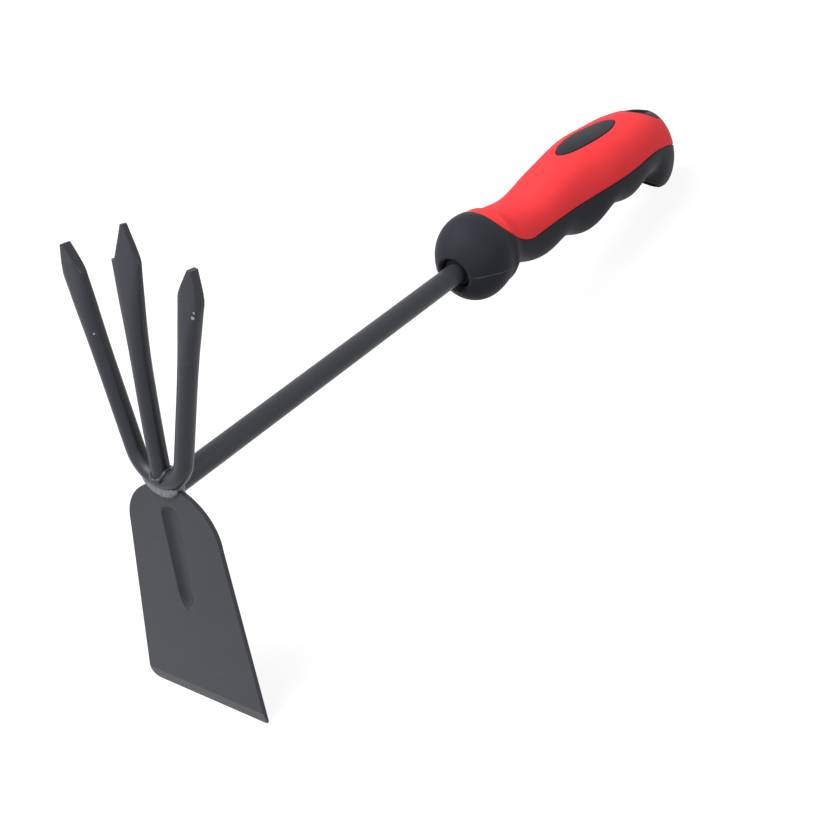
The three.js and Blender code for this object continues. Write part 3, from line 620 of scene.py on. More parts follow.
# %% Outline and depth of the blade
PLATE = 1.6
LEAN = 5.8
CROWN_RISE = 1.8
SHOULDER_DROP = 16.8
SHOULDER_HALF = 20.5
EDGE_DROP = 80.5
EDGE_HALF = 27.3
LEFT_CORNER = 4.2
RIGHT_CORNER = 1.2
BEVEL = 4.6
EDGE_THICKNESS = 0.5
GROOVE_TOP = 5.9
GROOVE_END = 44.8
GROOVE_HALF_TOP = 4.2
GROOVE_HALF_END = 3.0
GROOVE_DEPTH = 1.7
GROOVE_BACK_WIDER = 1.2
RUN_OUT_SHARE = 2.2
RUN_OUT_SOFT = 6
FLOOR_EXPONENT = 2.6
WALL_EXPONENT = 0.75
SOFT_WALL_EXPONENT = 0.6


def half_width(drop, corner):
    """Half the blade's width at a drop, with a rounded lower corner."""
    if drop < SHOULDER_DROP:
        up_share = min((SHOULDER_DROP - drop) / (SHOULDER_DROP + CROWN_RISE), 1)
        return SHOULDER_HALF * math.sqrt(1 - up_share ** 2)
    slope = (EDGE_HALF - SHOULDER_HALF) / (EDGE_DROP - SHOULDER_DROP)
    straight = SHOULDER_HALF + slope * (drop - SHOULDER_DROP)
    side = Vector((-slope, 1)).normalized() * corner
    if EDGE_DROP - drop >= side.y:
        return straight
    t = math.sqrt(max(EDGE_DROP - drop, 0) / side.y)
    return (1 - t) ** 2 * (EDGE_HALF - corner) + 2 * t * (1 - t) * EDGE_HALF + t ** 2 * (EDGE_HALF + side.x)


def groove_half(drop):
    """Half the groove's width at a drop, ends not yet rounded."""
    share = np.clip((drop - GROOVE_TOP) / (GROOVE_END - GROOVE_TOP), 0, 1)
    return float(mix(GROOVE_HALF_TOP, GROOVE_HALF_END, share))


def groove_depth(across, drop, wider):
    """Depth of the pressing: a trough with round ends, of which the lower one runs out softly."""
    half = groove_half(drop) + wider
    from_end = min(drop - GROOVE_TOP, (GROOVE_END - drop) / RUN_OUT_SHARE) + wider
    off_end = 1 - np.clip(from_end / half, 0, 1)
    off = np.sqrt((across / half) ** 2 + off_end ** 2)
    soft = np.clip(1 - (GROOVE_END - drop) / RUN_OUT_SOFT, 0, 1)
    steepness = WALL_EXPONENT + SOFT_WALL_EXPONENT * soft
    return GROOVE_DEPTH * np.clip(1 - off ** FLOOR_EXPONENT, 0, 1) ** steepness


print("half width at the shoulder", half_width(SHOULDER_DROP, LEFT_CORNER),
      "and at the edge", half_width(EDGE_DROP, LEFT_CORNER))

# %% Blade
INNER_COLUMNS = 40
OUTER_COLUMNS = 8
EDGE_SOFTNESS = 0.22
crown = SHOULDER_DROP - (SHOULDER_DROP + CROWN_RISE) * np.cos(np.linspace(0, np.pi / 2, 44))
body = np.linspace(SHOULDER_DROP, EDGE_DROP - BEVEL - 0.1, 84)[1:]
ground = EDGE_DROP - BEVEL * np.linspace(1, 0, 9) ** 1.3
drops = np.concatenate([crown, body, np.linspace(GROOVE_END - 3.6, GROOVE_END + 0.2, 20),
                        [EDGE_DROP - BEVEL], ground[1:-1], [EDGE_DROP - 0.02, EDGE_DROP]])
drops = np.unique(drops.round(3))

front_rows = []
back_rows = []
for drop in drops:
    left, right_half = half_width(drop, LEFT_CORNER), half_width(drop, RIGHT_CORNER)
    inner = min(groove_half(drop), 0.5 * left) * 1.1
    across = np.concatenate([
        np.linspace(-right_half, -inner, OUTER_COLUMNS + 1)[:-1],
        np.linspace(-inner, inner, INNER_COLUMNS + 1),
        np.linspace(inner, left, OUTER_COLUMNS + 1)[1:],
    ])
    grind = max(drop - EDGE_DROP + BEVEL, 0) / BEVEL * (PLATE - EDGE_THICKNESS)
    front = groove_depth(across, drop, 0) + grind
    rear = PLATE + groove_depth(across, drop, GROOVE_BACK_WIDER)
    level = np.full_like(across, -drop)
    front_rows.append(np.stack([front, across, level], axis=1))
    back_rows.append(np.stack([rear, across, level], axis=1))
columns = len(front_rows[0])
rows = len(drops)
points = turn_y(np.concatenate([np.concatenate(front_rows), np.concatenate(back_rows)]), LEAN)
sheet = quads(rows, columns)
faces = sheet + [tuple(i + rows * columns for i in reversed(face)) for face in sheet]
rim = [i * columns for i in range(rows)] + [(rows - 1) * columns + j for j in range(1, columns)]
rim += [i * columns + columns - 1 for i in range(rows - 2, -1, -1)] + list(range(columns - 2, 0, -1))
for a, b in zip(rim, rim[1:] + rim[:1]):
    faces.append((a, b, b + rows * columns, a + rows * columns))
blade = finish_piece("pressed_hoe_blade", points, faces, steel_coat, "hoe_blade")
edges = blade.modifiers.new("softened edges", "BEVEL")
edges.width = EDGE_SOFTNESS * MM
edges.segments = 2
edges.limit_method = "ANGLE"
edges.angle_limit = math.radians(45)

# %% [markdown]
# ## Weld beads
#
# Three beads hold the head together: one round the bar, one along the front of the blade's crown
# and one round the foot of the middle tine. A hand-laid bead is a row of overlapping puddles, so
# its thickness swells and shrinks every couple of millimetres. Each is a skin over small rings
# whose size ripples along the run.

# %% Ripple of a hand-laid bead
BEAD_SIDES = 20
RIPPLE_PITCH = 2.2


def ripple(run, share):
    """The puddles of a bead, as a factor of its size."""
    return 1 + share * math.sin(2 * math.pi * run / RIPPLE_PITCH) + 0.04 * math.sin(run * 1.7 + 0.6)


print("a puddle swells the bar's bead to", round(ripple(RIPPLE_PITCH / 4, 0.12), 2), "of its size")

# %% Bead round the bar
BAR_BEAD = 1.7
BAR_RIPPLE = 0.12


def head_reach(y, z):
    """How far back the blade or the U rod reaches at a point beside the bar."""
    plate_back = PLATE / math.cos(math.radians(LEAN)) + z * math.tan(math.radians(LEAN))
    rod_rise = FORK_RISE + FORK_BEND - math.sqrt(FORK_BEND ** 2 - y ** 2)
    off = min(abs(z - rod_rise) / ROD_RADIUS, 1)
    rod_back = FORK_SETBACK + ROD_RADIUS * math.sqrt(1 - off ** 2)
    return max(plate_back, rod_back if off < 1 else plate_back)


rings = []
for angle in np.linspace(0, 2 * np.pi, 120, endpoint=False):
    out = np.array([0, math.sin(angle), math.cos(angle)])
    ring_radius = BAR_RADIUS + BAR_BEAD * 0.35
    centre = out * ring_radius
    centre[0] = head_reach(centre[1], centre[2]) + BAR_BEAD * 0.3
    size = BAR_BEAD * ripple(angle * ring_radius, BAR_RIPPLE)
    rings.append(oval_ring(centre, out, (1, 0, 0), size, size, 2, BEAD_SIDES))
faces = quads(len(rings), BEAD_SIDES, wrap=True, loop=True)
# The lighter coat of this bead is painted highlight.
finish_piece("bar_weld_bead", rings, faces, weld_coat_painted_highlight, "weld_shaft_head")

# %% Bead along the front of the blade
FRONT_HEIGHT = 2.2
FRONT_DEPTH = 1.5
FRONT_SETBACK = -0.3
FRONT_RIGHT_END = 6.5
FRONT_LEFT_END = 9.0
FRONT_END_SHARE = 0.14
FRONT_RIPPLE = 0.035

outer_bend = FORK_BEND + ROD_RADIUS
rings = []
for y in np.linspace(-FRONT_RIGHT_END, FRONT_LEFT_END, 70):
    end = FRONT_RIGHT_END if y < 0 else FRONT_LEFT_END
    swell = max(math.sqrt(max(1 - (y / end) ** 2, 0)), FRONT_END_SHARE) * ripple(y, FRONT_RIPPLE)
    under = FORK_RISE - ROD_RADIUS + outer_bend - math.sqrt(outer_bend ** 2 - y ** 2)
    centre = (FRONT_SETBACK, y, under - FRONT_HEIGHT * 0.45)
    rings.append(oval_ring(centre, (0, 0, 1), (1, 0, 0), FRONT_HEIGHT * swell, FRONT_DEPTH * swell,
                           2, BEAD_SIDES))
faces = rod_faces(len(rings), BEAD_SIDES)
# The lighter coat of this bead is painted highlight.
finish_piece("blade_weld_bead", rings, faces, weld_coat_painted_highlight, "weld_blade_front")

# %% Bead round the foot of the middle tine
FOOT_BEAD = 0.9
FOOT_RIPPLE = 0.08

inner_bend = FORK_BEND - ROD_RADIUS
ring_radius = ROD_RADIUS + FOOT_BEAD * 0.1
rings = []
for angle in np.linspace(0, 2 * np.pi, 90, endpoint=False):
    out = np.array([math.cos(angle), math.sin(angle), 0])
    centre = out * ring_radius + (MIDDLE_SETBACK, 0, 0)
    off = min(abs(centre[0] - FORK_SETBACK) / ROD_RADIUS, 0.9)
    centre[2] = FORK_RISE + ROD_RADIUS * math.sqrt(1 - off ** 2) + FOOT_BEAD * 0.1
    centre[2] += inner_bend - math.sqrt(inner_bend ** 2 - centre[1] ** 2)
    size = FOOT_BEAD * ripple(angle * ring_radius, FOOT_RIPPLE)
    rings.append(oval_ring(centre, out, (0, 0, 1), size, size, 2, BEAD_SIDES))
faces = quads(len(rings), BEAD_SIDES, wrap=True, loop=True)
finish_piece("tine_weld_bead", rings, faces, steel_coat, "weld_centre_tine")

# %% [markdown]
# ## The shape of the handle
#
# The handle is one flowing form: a ball at the front, a waist, a swollen palm rest with finger
# notches below, and a pommel that hooks down. Its section at any place along the axis has a
# height above, a depth below and a half width, each from a smooth curve through a few measured
# rows. Both colours are cut from this one surface, so they always meet.

# %% Handle profiles
BALL_RADIUS = 17.1
BALL_RISE = 1.3
BALL_FRONT = 0.88
BALL_WIDTH = 0.863
GRIP_LENGTH = 143.1
BUTT_ROUNDING = 20.0
GRIP_EXPONENT = 2.3
KEEL_EXPONENT = 1.4
NECK_BLEND = 6
PALM_RISE = 18.1
PALM_DROP = 19.3
PALM_HALF = 16.7
NOTCH_DEPTH = 4.0
NOTCH_WIDTH = 9.2
TINY = 1e-6


def profile(rows, scale):
    """A smooth curve through rows of a place and a share. Its slope at a row is the mean of the
    two straight lines that meet there."""
    places, values = np.array(rows, float).T
    values = values * scale
    chords = np.diff(values) / np.diff(places)
    slopes = np.concatenate([chords[:1], (chords[:-1] + chords[1:]) / 2, chords[-1:]])

    def value(place):
        place = np.clip(place, places[0], places[-1])
        i = np.clip(np.searchsorted(places, place, side="right") - 1, 0, len(places) - 2)
        span = places[i + 1] - places[i]
        share = (place - places[i]) / span
        return ((2 * share ** 3 - 3 * share ** 2 + 1) * values[i]
                + (share ** 3 - 2 * share ** 2 + share) * span * slopes[i]
                + (3 * share ** 2 - 2 * share ** 3) * values[i + 1]
                + (share ** 3 - share ** 2) * span * slopes[i + 1])

    return value


grip_top = profile([[.1, .8], [.2, .68], [.34, .86], [.48, 1],
                    [.62, .94], [.76, .82], [.88, .55], [1, -.2]], PALM_RISE)
grip_under = profile([[.1, .69], [.28, .84], [.46, 1], [.64, .93],
                      [.8, .78], [.87, 1.29], [.93, 1.49], [1, 1.08]], PALM_DROP)
grip_wide = profile([[.1, .73], [.34, .77], [.62, 1], [.88, .71], [1, .33]], PALM_HALF)
NOTCHES = [(.116, .8), (.352, .83), (.562, 1.05)]
print("grip top at a quarter, half and three quarters:", grip_top(np.array([.25, .5, .75])).round(1).tolist())


# %% Points of the handle
def neck(ball, grip):
    """The larger of two sizes, with a soft change from one to the other."""
    return (ball ** NECK_BLEND + np.clip(grip, 0, None) ** NECK_BLEND) ** (1 / NECK_BLEND)


def handle_section(behind):
    """Rise of the widest line, height above it, depth below it, half width and both squarenesses."""
    behind = np.asarray(behind, float)
    place = behind / GRIP_LENGTH
    butt = np.clip((behind - GRIP_LENGTH + BUTT_ROUNDING) / BUTT_ROUNDING, 0, 1)
    close = (1 - butt ** GRIP_EXPONENT) ** (1 / GRIP_EXPONENT)
    notch = sum(share * NOTCH_DEPTH * np.exp(-((place - at) * GRIP_LENGTH / NOTCH_WIDTH) ** 2)
                for at, share in NOTCHES)
    top, under = grip_top(place), grip_under(place) - notch
    middle, half = (top - under) / 2, (top + under) / 2 * close
    ball = np.sqrt(np.clip(BALL_RADIUS ** 2 - behind ** 2, 0, None))
    rise = mix(BALL_RISE, middle, ease(behind, BALL_RADIUS, 2 * BALL_RADIUS))
    grown = ease(behind, 0, 0.6 * BALL_RADIUS)
    up_size = neck(ball, (middle + half - rise) * grown)
    down = neck(ball, (rise - middle + half) * grown)
    wide = neck(ball * BALL_WIDTH, grip_wide(place) * close * grown)
    exponent = mix(2, GRIP_EXPONENT, ease(behind, 0, BALL_RADIUS))
    under_exponent = mix(exponent, KEEL_EXPONENT, ease(place, 0.82, 0.9) - ease(place, 0.9, 1.02))
    return rise, up_size, down, wide, exponent, under_exponent


def on_handle(behind, angle):
    """A point of the handle: angle 0 is the left side and a quarter turn is the top."""
    rise, up_size, down, wide, exponent, under_exponent = handle_section(behind)
    high = np.sin(angle)
    y = wide * power(np.cos(angle), 2 / exponent)
    z = np.where(high > 0, up_size * power(high, 2 / exponent), down * power(high, 2 / under_exponent))
    return np.stack([HEAD_TO_BALL + behind + 0 * y, y, rise + z], axis=-1)


def height_angle(behind, z):
    """The angle, on the left side, at which the handle reaches a height."""
    rise, up_size, down, wide, exponent, under_exponent = handle_section(behind)
    high = power(np.clip((z - rise) / np.maximum(up_size, TINY), 0, 1), exponent / 2)
    deep = power(np.clip((rise - z) / np.maximum(down, TINY), 0, 1), under_exponent / 2)
    return np.arcsin(np.where(z > rise, high, -deep))


def over_handle(x, y, above=True):
    """The point of the handle above or below a place on its plan."""
    rise, up_size, down, wide, exponent, under_exponent = handle_section(x - HEAD_TO_BALL)
    level = 1 - np.clip(np.abs(y) / wide, 0, 1) ** exponent
    z = rise + up_size * level ** (1 / exponent) if above else rise - down * level ** (1 / under_exponent)
    return np.stack([x + 0 * y, y + 0 * x, z], axis=-1)


print("handle half width at the palm", round(float(handle_section(88.0)[3]), 2), "mm")

# %% [markdown]
# ## The colour seam
#
# Red meets black on a line that drops down the back of the ball, runs along the parting plane of
# the mould and falls again towards the butt. In the mould the first colour is shut off by a steel
# edge, which leaves a small rounded step on each side. The seam is one line in side view. The
# distance from it says which colour a point has, and how far the rounded edge sinks there.

# %% Seam line
SEAM_GAP = 0.2
SEAM_ROLL = 0.34
EDGE_STEPS = np.array([0.0, 0.04, 0.1, 0.2, 0.35])
SEAM_SETBACK = 4.0
SEAM_SWEEP = 19.0
SWEEP_EXPONENT = 1.25
FALL_LENGTH = 41.2
FALL_BEND = 0.4
SEAM_END_DROP = 13.0
SEAM_STEPS = 60
front = HEAD_TO_BALL + SEAM_SETBACK
butt_end = HEAD_TO_BALL + GRIP_LENGTH
fall_start = butt_end - FALL_LENGTH
ball_top = BALL_RADIUS + BALL_RISE


def sweep_down(turn):
    """How far behind its start and how high the seam is on its quarter turn down the ball."""
    return SEAM_SWEEP * (1 - np.cos(turn) ** SWEEP_EXPONENT), ball_top * (1 - np.sin(turn) ** SWEEP_EXPONENT)


swept, height = sweep_down(np.linspace(0, np.pi / 2, SEAM_STEPS))
sweep = np.stack([front + swept, height], axis=1)
t = np.linspace(0, 1, SEAM_STEPS)[:, None]
bend = mix(fall_start, butt_end, FALL_BEND)
fall = (1 - t) ** 2 * [fall_start, 0] + 2 * t * (1 - t) * [bend, 0] + t ** 2 * [butt_end, -SEAM_END_DROP]
tail = fall[-1] + (fall[-1] - fall[-2]) * 20
seam = np.concatenate([[[front, ball_top + 12]], sweep, fall, [tail]])
seam_length = np.linalg.norm(np.diff(seam[1:-1], axis=0), axis=1).sum()
print("seam is", round(float(seam_length), 1), "mm long in side view")

# %% Stations along the seam
SWEEP_ROWS = 48
FIRST_TURN = 0.053
NUDGE = 0.02
swept, height = sweep_down(np.linspace(FIRST_TURN, np.pi / 2 - 0.001, SWEEP_ROWS))
station_behind = SEAM_SETBACK + swept
straight_end = GRIP_LENGTH - BUTT_ROUNDING
later = np.concatenate([np.linspace(station_behind[-1], straight_end, 96)[1:],
                        straight_end + BUTT_ROUNDING * np.sin(np.linspace(0, np.pi / 2, 28))[1:]])
fallen = np.clip((later - GRIP_LENGTH) / FALL_LENGTH + 1, 0, 1)
t = (np.sqrt(FALL_BEND ** 2 + (1 - 2 * FALL_BEND) * fallen) - FALL_BEND) / (1 - 2 * FALL_BEND)
station_behind = np.concatenate([station_behind, later])
station_height = np.concatenate([height, -SEAM_END_DROP * t ** 2])
station_angle = height_angle(station_behind, station_height)
station_angle[0] = np.pi / 2

# Millimetres of skin to a radian at each station, and the way across the seam, towards the red.
# Behind the sweep the rows stay upright, so the way across is along the section there.
higher = on_handle(station_behind, station_angle + NUDGE)
lower = on_handle(station_behind, station_angle - NUDGE)
spread = np.maximum(np.linalg.norm(higher - lower, axis=1) / (2 * NUDGE), 0.5)
run = np.stack([np.gradient(station_behind), np.gradient(station_angle) * spread])
run[0, 0] = 0
push = np.stack([-run[1], run[0]]) / np.linalg.norm(run, axis=0)
push[:, SWEEP_ROWS:] = [0 * later, np.linalg.norm(run, axis=0)[SWEEP_ROWS:] / run[0, SWEEP_ROWS:]]
print(len(station_behind), "stations along the seam,", SWEEP_ROWS, "of them on the ball")


# %% Distance from the seam and rows beside it
def seam_distance(x, z):
    """Signed distance from the seam in side view: positive on the red side."""
    spots = np.stack([np.ravel(x), np.ravel(z)], axis=1)[:, None, :]
    starts, run = seam[None, :-1], np.diff(seam, axis=0)[None]
    share = np.clip(((spots - starts) * run).sum(2) / np.maximum((run ** 2).sum(2), TINY ** 2), 0, 1)
    away = spots - starts - share[..., None] * run
    gap = np.linalg.norm(away, axis=2)
    nearest = gap.argmin(1)
    each = np.arange(len(spots))
    side = run[0, nearest, 0] * away[each, nearest, 1] - run[0, nearest, 1] * away[each, nearest, 0]
    return (gap[each, nearest] * np.where(side >= 0, 1, -1)).reshape(np.shape(x))


def rolled(distance, radius=SEAM_ROLL):
    """How far a rounded edge sinks at a distance inside it."""
    t = np.clip(1 - distance / radius, 0, 1)
    return radius * (1 - np.sqrt(1 - t ** 2))


def seam_grid(side, far_behind, far_angle, columns):
    """Rows of points on the left half, from the seam to a far line. side is 1 for red, -1 for black."""
    moves = side * (SEAM_GAP / 2 + EDGE_STEPS)[:, None]
    behind = station_behind + push[0] * moves
    angle = np.clip(station_angle + push[1] * moves / spread, -np.pi / 2, np.pi / 2)
    shares = (np.arange(1, columns + 1) / columns)[:, None]
    behind = np.concatenate([behind, mix(behind[-1], far_behind, shares)])
    angle = np.concatenate([angle, mix(angle[-1], far_angle, shares)])
    return on_handle(np.minimum(behind, GRIP_LENGTH).T, angle.T)


print("an edge sinks by", rolled(EDGE_STEPS).round(2).tolist(), "mm over its first steps")

# %% [markdown]
# ## Holes in a skin
#
# The thumb inlay and the hang hole sit in round openings of the handle's surface. A square mesh
# can't follow a round edge, so a block of its faces is taken out and filled with rings that start
# on the edge of the opening and spread to the block's border. All points stay on the surface.

# %% Helper for openings
def open_skin(grid, block, edge, above, levels=5):
    """Takes a block of a grid out and spreads rings from an edge to its border.
    grid is rows by columns of points. edge gives plan points for angles round the opening."""
    rows, columns = grid.shape[:2]
    i0, i1, j0, j1 = block
    border = [(i0, j) for j in range(j0, j1)] + [(i, j1) for i in range(i0, i1)]
    border += [(i1, j) for j in range(j1, j0, -1)] + [(i, j0) for i in range(i1, i0, -1)]
    outside = np.array([grid[i, j] for i, j in border])
    around, centre, size = edge
    angle = np.arctan2((outside[:, 1] - centre[1]) / size[1], (outside[:, 0] - centre[0]) / size[0])
    inside = around(angle)
    span = np.linalg.norm(outside[:, :2] - inside, axis=1)[:, None]
    shares = [np.minimum(step / span, 0.9) for step in EDGE_STEPS]
    shares += [mix(shares[-1], 1.0, (k / levels) ** 1.3) for k in range(1, levels)]
    rings = []
    for share in shares:
        plan = mix(inside, outside[:, :2], share)
        rings.append(over_handle(plan[:, 0], plan[:, 1], above))
    rings = np.array(rings + [outside])
    return np.concatenate([rings, rings[:, :1]], axis=1)


def grid_faces(rows, columns, blocks):
    """Faces of a grid without those of some blocks."""
    kept = []
    for face in quads(rows, columns):
        i, j = divmod(face[0], columns)
        if not any(i0 <= i < i1 and j0 <= j < j1 for i0, i1, j0, j1 in blocks):
            kept.append(face)
    return kept


def block_of(grid, distance, above, margin=0.9):
    """The rows and columns of a grid that hold an opening, with a margin round it."""
    flat = grid.reshape(-1, 3)
    near = (distance(flat) < margin) & ((flat[:, 2] > 0) == above)
    near = near.reshape(grid.shape[:2])
    rows_near, columns_near = np.flatnonzero(near.any(1)), np.flatnonzero(near.any(0))
    return rows_near[0] - 1, rows_near[-1] + 1, columns_near[0] - 1, columns_near[-1] + 1


def join(patches):
    """The points and faces of several grids, each with the blocks of faces that it leaves out."""
    points, faces = [], []
    for grid, blocks in patches:
        start = sum(len(p) for p in points)
        faces += [tuple(i + start for i in face) for face in grid_faces(*grid.shape[:2], blocks)]
        points.append(grid.reshape(-1, 3))
    return np.concatenate(points), faces


print("an opening's edge starts with steps of", np.diff(EDGE_STEPS).round(2).tolist(), "mm")

# %% [markdown]
# ## Places of the inlay and the hang hole
#
# The inlay is a plain oval where the thumb rests, just right of the middle line. The hang hole
# runs down through the butt, leaning five degrees forward.

# %% Inlay oval
INLAY_FROM_BUTT = 63.2
INLAY_MIDDLE = (butt_end - INLAY_FROM_BUTT, -1.2)
INLAY_HALF = (20.1, 5.7)


def oval_points(size, angle):
    """Plan points round the oval at a half length and a half width."""
    return INLAY_MIDDLE + size * np.stack([np.cos(angle), np.sin(angle)], axis=1)


def oval_edge(grow):
    """The oval as the edge of an opening."""
    def around(angle):
        return oval_points(np.array(INLAY_HALF) + grow, angle)
    return around, INLAY_MIDDLE, INLAY_HALF


def oval_distance(points, grow):
    """Distance outside the oval, in plan."""
    size = np.array(INLAY_HALF) + grow
    off = (points[:, :2] - INLAY_MIDDLE) / size
    ratio = np.linalg.norm(off, axis=1)
    return (ratio - 1) * ratio / np.maximum(np.linalg.norm(off / size, axis=1), TINY)


print("inlay from", INLAY_MIDDLE[0] - INLAY_HALF[0], "to", INLAY_MIDDLE[0] + INLAY_HALF[0], "mm")

# %% Hang hole
HANG_FROM_BUTT = 21.2
HANG_LEAN = math.radians(5.0)
HANG_UP = np.array([-math.sin(HANG_LEAN), 0, math.cos(HANG_LEAN)])
HANG_SIDE = np.array([math.cos(HANG_LEAN), 0, math.sin(HANG_LEAN)])
HANG_POINT = np.array([butt_end - HANG_FROM_BUTT, 0, float(grip_top(1 - HANG_FROM_BUTT / GRIP_LENGTH))])
FROM_BELOW = -40.0
ON_AXIS = 0.001


def hang_circle(angle):
    """Directions straight out from the hang axis."""
    return np.cos(angle)[:, None] * HANG_SIDE + np.sin(angle)[:, None] * np.array([0, 1, 0])


def hang_ring(radius, angle, above=True):
    """Points of the handle at a radius from the hang axis, and how far along the axis they lie."""
    out = radius * hang_circle(angle)
    high = np.full(len(angle), 0.0 if above else FROM_BELOW)
    for _ in range(12):
        spot = HANG_POINT + out + high[:, None] * HANG_UP
        high += (over_handle(spot[:, 0], spot[:, 1], above)[:, 2] - spot[:, 2]) / HANG_UP[2]
    return HANG_POINT + out + high[:, None] * HANG_UP, high


def hang_edge(radius, above=True):
    """A ring round the hang hole as the edge of an opening."""
    def around(angle):
        return hang_ring(radius, angle, above)[0][:, :2]
    middle = hang_ring(ON_AXIS, np.zeros(1), above)[0][0]
    return around, middle[:2], (1, 1)


def hang_distance(points):
    """Distance from the hang axis."""
    return np.linalg.norm(np.cross(points - HANG_POINT, HANG_UP), axis=1)


print("hang hole goes in at", hang_ring(ON_AXIS, np.zeros(1))[0][0].round(2).tolist(),
      "and out at", hang_ring(ON_AXIS, np.zeros(1), False)[0][0].round(2).tolist())

# %% [markdown]
# ## Red rubber
#
# The red moulding covers the top and the sides of the grip. Its rows run round the handle from
# seam to seam. The rows nearest the seam, the inlay and the hang hole sink on a small radius, so
# each edge catches a thin line of light as the real one does. A Solidify modifier gives the skin
# its thickness.

# %% Red moulding
SKIN = 2.0 * MM
RED_COLUMNS = 32
CLEAR = 0.3
COLLAR = 8.1
TOP_MARGIN = 0.2

top_start = SEAM_SETBACK + SEAM_GAP / 2 + EDGE_STEPS[-1] + TOP_MARGIN
top_behind = mix(top_start, station_behind[SWEEP_ROWS - 1], np.linspace(0, 1, SWEEP_ROWS) ** 1.3)
top_behind = np.concatenate([top_behind, station_behind[SWEEP_ROWS:]])
left_half = seam_grid(1, top_behind, np.pi / 2, RED_COLUMNS)
grid = np.concatenate([left_half, left_half[:, -2::-1] * [1, -1, 1]], axis=1)
inlay_block = block_of(grid, lambda spots: oval_distance(spots, CLEAR), True)
hang_block = block_of(grid, lambda spots: hang_distance(spots) - COLLAR - CLEAR, True)
points, faces = join([(grid, [inlay_block, hang_block]),
                      (open_skin(grid, inlay_block, oval_edge(CLEAR), True), []),
                      (open_skin(grid, hang_block, hang_edge(COLLAR + CLEAR), True), [])])


def red_sink(places):
    """How far the red skin sinks at its edges."""
    seam_side = rolled(seam_distance(places[:, 0], places[:, 2]) - SEAM_GAP / 2)
    inlay_side = rolled(oval_distance(places, CLEAR))
    hang_side = np.where(places[:, 2] > 0, rolled(hang_distance(places) - COLLAR - CLEAR), 0)
    return np.maximum(np.maximum(seam_side, inlay_side), hang_side)


def give_thickness(piece):
    """Turns a skin into a moulded wall, inwards."""
    wall = piece.modifiers.new("moulded thickness", "SOLIDIFY")
    wall.thickness = SKIN
    wall.offset = -1


give_thickness(finish_piece("red_rubber_grip", points, faces, red_rubber, "grip_shell",
                            sharp=60, sink=red_sink))

# %% [markdown]
# ## Black rubber
#
# The black moulding is the ball, the underside with its finger notches and the hooked pommel. Its
# front rows leave the recess round the bar, climb over a rounded lip and spread over the ball.
# From there the rows run under the handle from seam to seam.

# %% Rows of the underside
BLACK_COLUMNS = 34
LOWER_RIM = 6.0
RIM_CLEAR = 0.1
RIM_ROLL = 0.2
UPRIGHT_FROM, UPRIGHT_BY = 20, 78
around_ball = np.linspace(np.pi / 2, -np.pi / 2, SWEEP_ROWS)
under_behind = station_behind[SWEEP_ROWS:]
leaning = 1 - ease(under_behind, UPRIGHT_FROM, UPRIGHT_BY)
under_behind = under_behind - station_behind[SWEEP_ROWS - 1] * leaning
far_behind = np.concatenate([np.zeros(SWEEP_ROWS), under_behind])
far_angle = np.concatenate([around_ball, np.full(len(under_behind), -np.pi / 2)])
left_half = seam_grid(-1, far_behind, far_angle, BLACK_COLUMNS)
right_half = left_half * [1, -1, 1]
grid = np.concatenate([left_half, right_half[:, -2::-1]], axis=1)[SWEEP_ROWS - 1:]
exit_block = block_of(grid, lambda spots: hang_distance(spots) - LOWER_RIM, False)
print("the underside has", grid.shape[:2], "points and gives way to the hang hole at", exit_block)

# %% Front of the ball
LIP = 1.0
RECESS_RADIUS = 6.4
RECESS_DEPTH = 3.5
RECESS_ROUND = 0.5
BAR_CLEAR = 0.02
full = np.concatenate([around_ball, np.pi - around_ball[-2::-1]])
lip_outer = RECESS_RADIUS + LIP
lip_front = -BALL_FRONT * math.sqrt(BALL_RADIUS ** 2 - lip_outer ** 2)


def ball_front(y, z):
    """How far in front of its middle the ball reaches at a place across it."""
    rest = BALL_RADIUS ** 2 - (y / BALL_WIDTH) ** 2 - (z - BALL_RISE) ** 2
    return -BALL_FRONT * np.sqrt(np.clip(rest, 0, None))


mouth = ball_front(lip_outer * np.cos(full), lip_outer * np.sin(full))
recess_rows = [(BAR_RADIUS + BAR_CLEAR, RECESS_DEPTH), (RECESS_RADIUS - RECESS_ROUND, RECESS_DEPTH),
               (RECESS_RADIUS - 0.2 * RECESS_ROUND, RECESS_DEPTH - 0.2 * RECESS_ROUND),
               (RECESS_RADIUS, RECESS_DEPTH - RECESS_ROUND), (RECESS_RADIUS, 2.2), (RECESS_RADIUS, 1.5)]
recess_rows += [(RECESS_RADIUS + LIP * (1 - math.cos(t)), LIP * (1 - math.sin(t)))
                for t in np.linspace(0, np.pi / 2, 9)[:-1]]
front_rows = []
for radius, depth in recess_rows:
    x = HEAD_TO_BALL + mix(mouth, lip_front, depth / RECESS_DEPTH) + depth
    front_rows.append(np.stack([x, radius * np.cos(full), radius * np.sin(full)], axis=1))
start = math.asin(lip_outer / BALL_RADIUS)
for t in np.linspace(0, 1, 30)[:-1]:
    radius = BALL_RADIUS * math.sin(mix(start, np.pi / 2, t))
    share = float(ease(t, 0, 1))
    y, z = radius * mix(1, BALL_WIDTH, share) * np.cos(full), BALL_RISE * share + radius * np.sin(full)
    front_rows.append(np.stack([HEAD_TO_BALL + ball_front(y, z), y, z], axis=1))
front_rows.append(on_handle(0.0, full))
print("the ball's front has", len(front_rows), "rows from the bar to the middle of the ball")


# %% Black moulding
def black_sink(places):
    """How far the black skin sinks at its edges."""
    seam_side = rolled(-seam_distance(places[:, 0], places[:, 2]) - SEAM_GAP / 2)
    seam_side = np.where(places[:, 0] > HEAD_TO_BALL, seam_side, 0)
    rim_side = rolled(hang_distance(places) - LOWER_RIM - RIM_CLEAR, RIM_ROLL)
    return np.maximum(seam_side, np.where(places[:, 2] < 0, rim_side, 0))


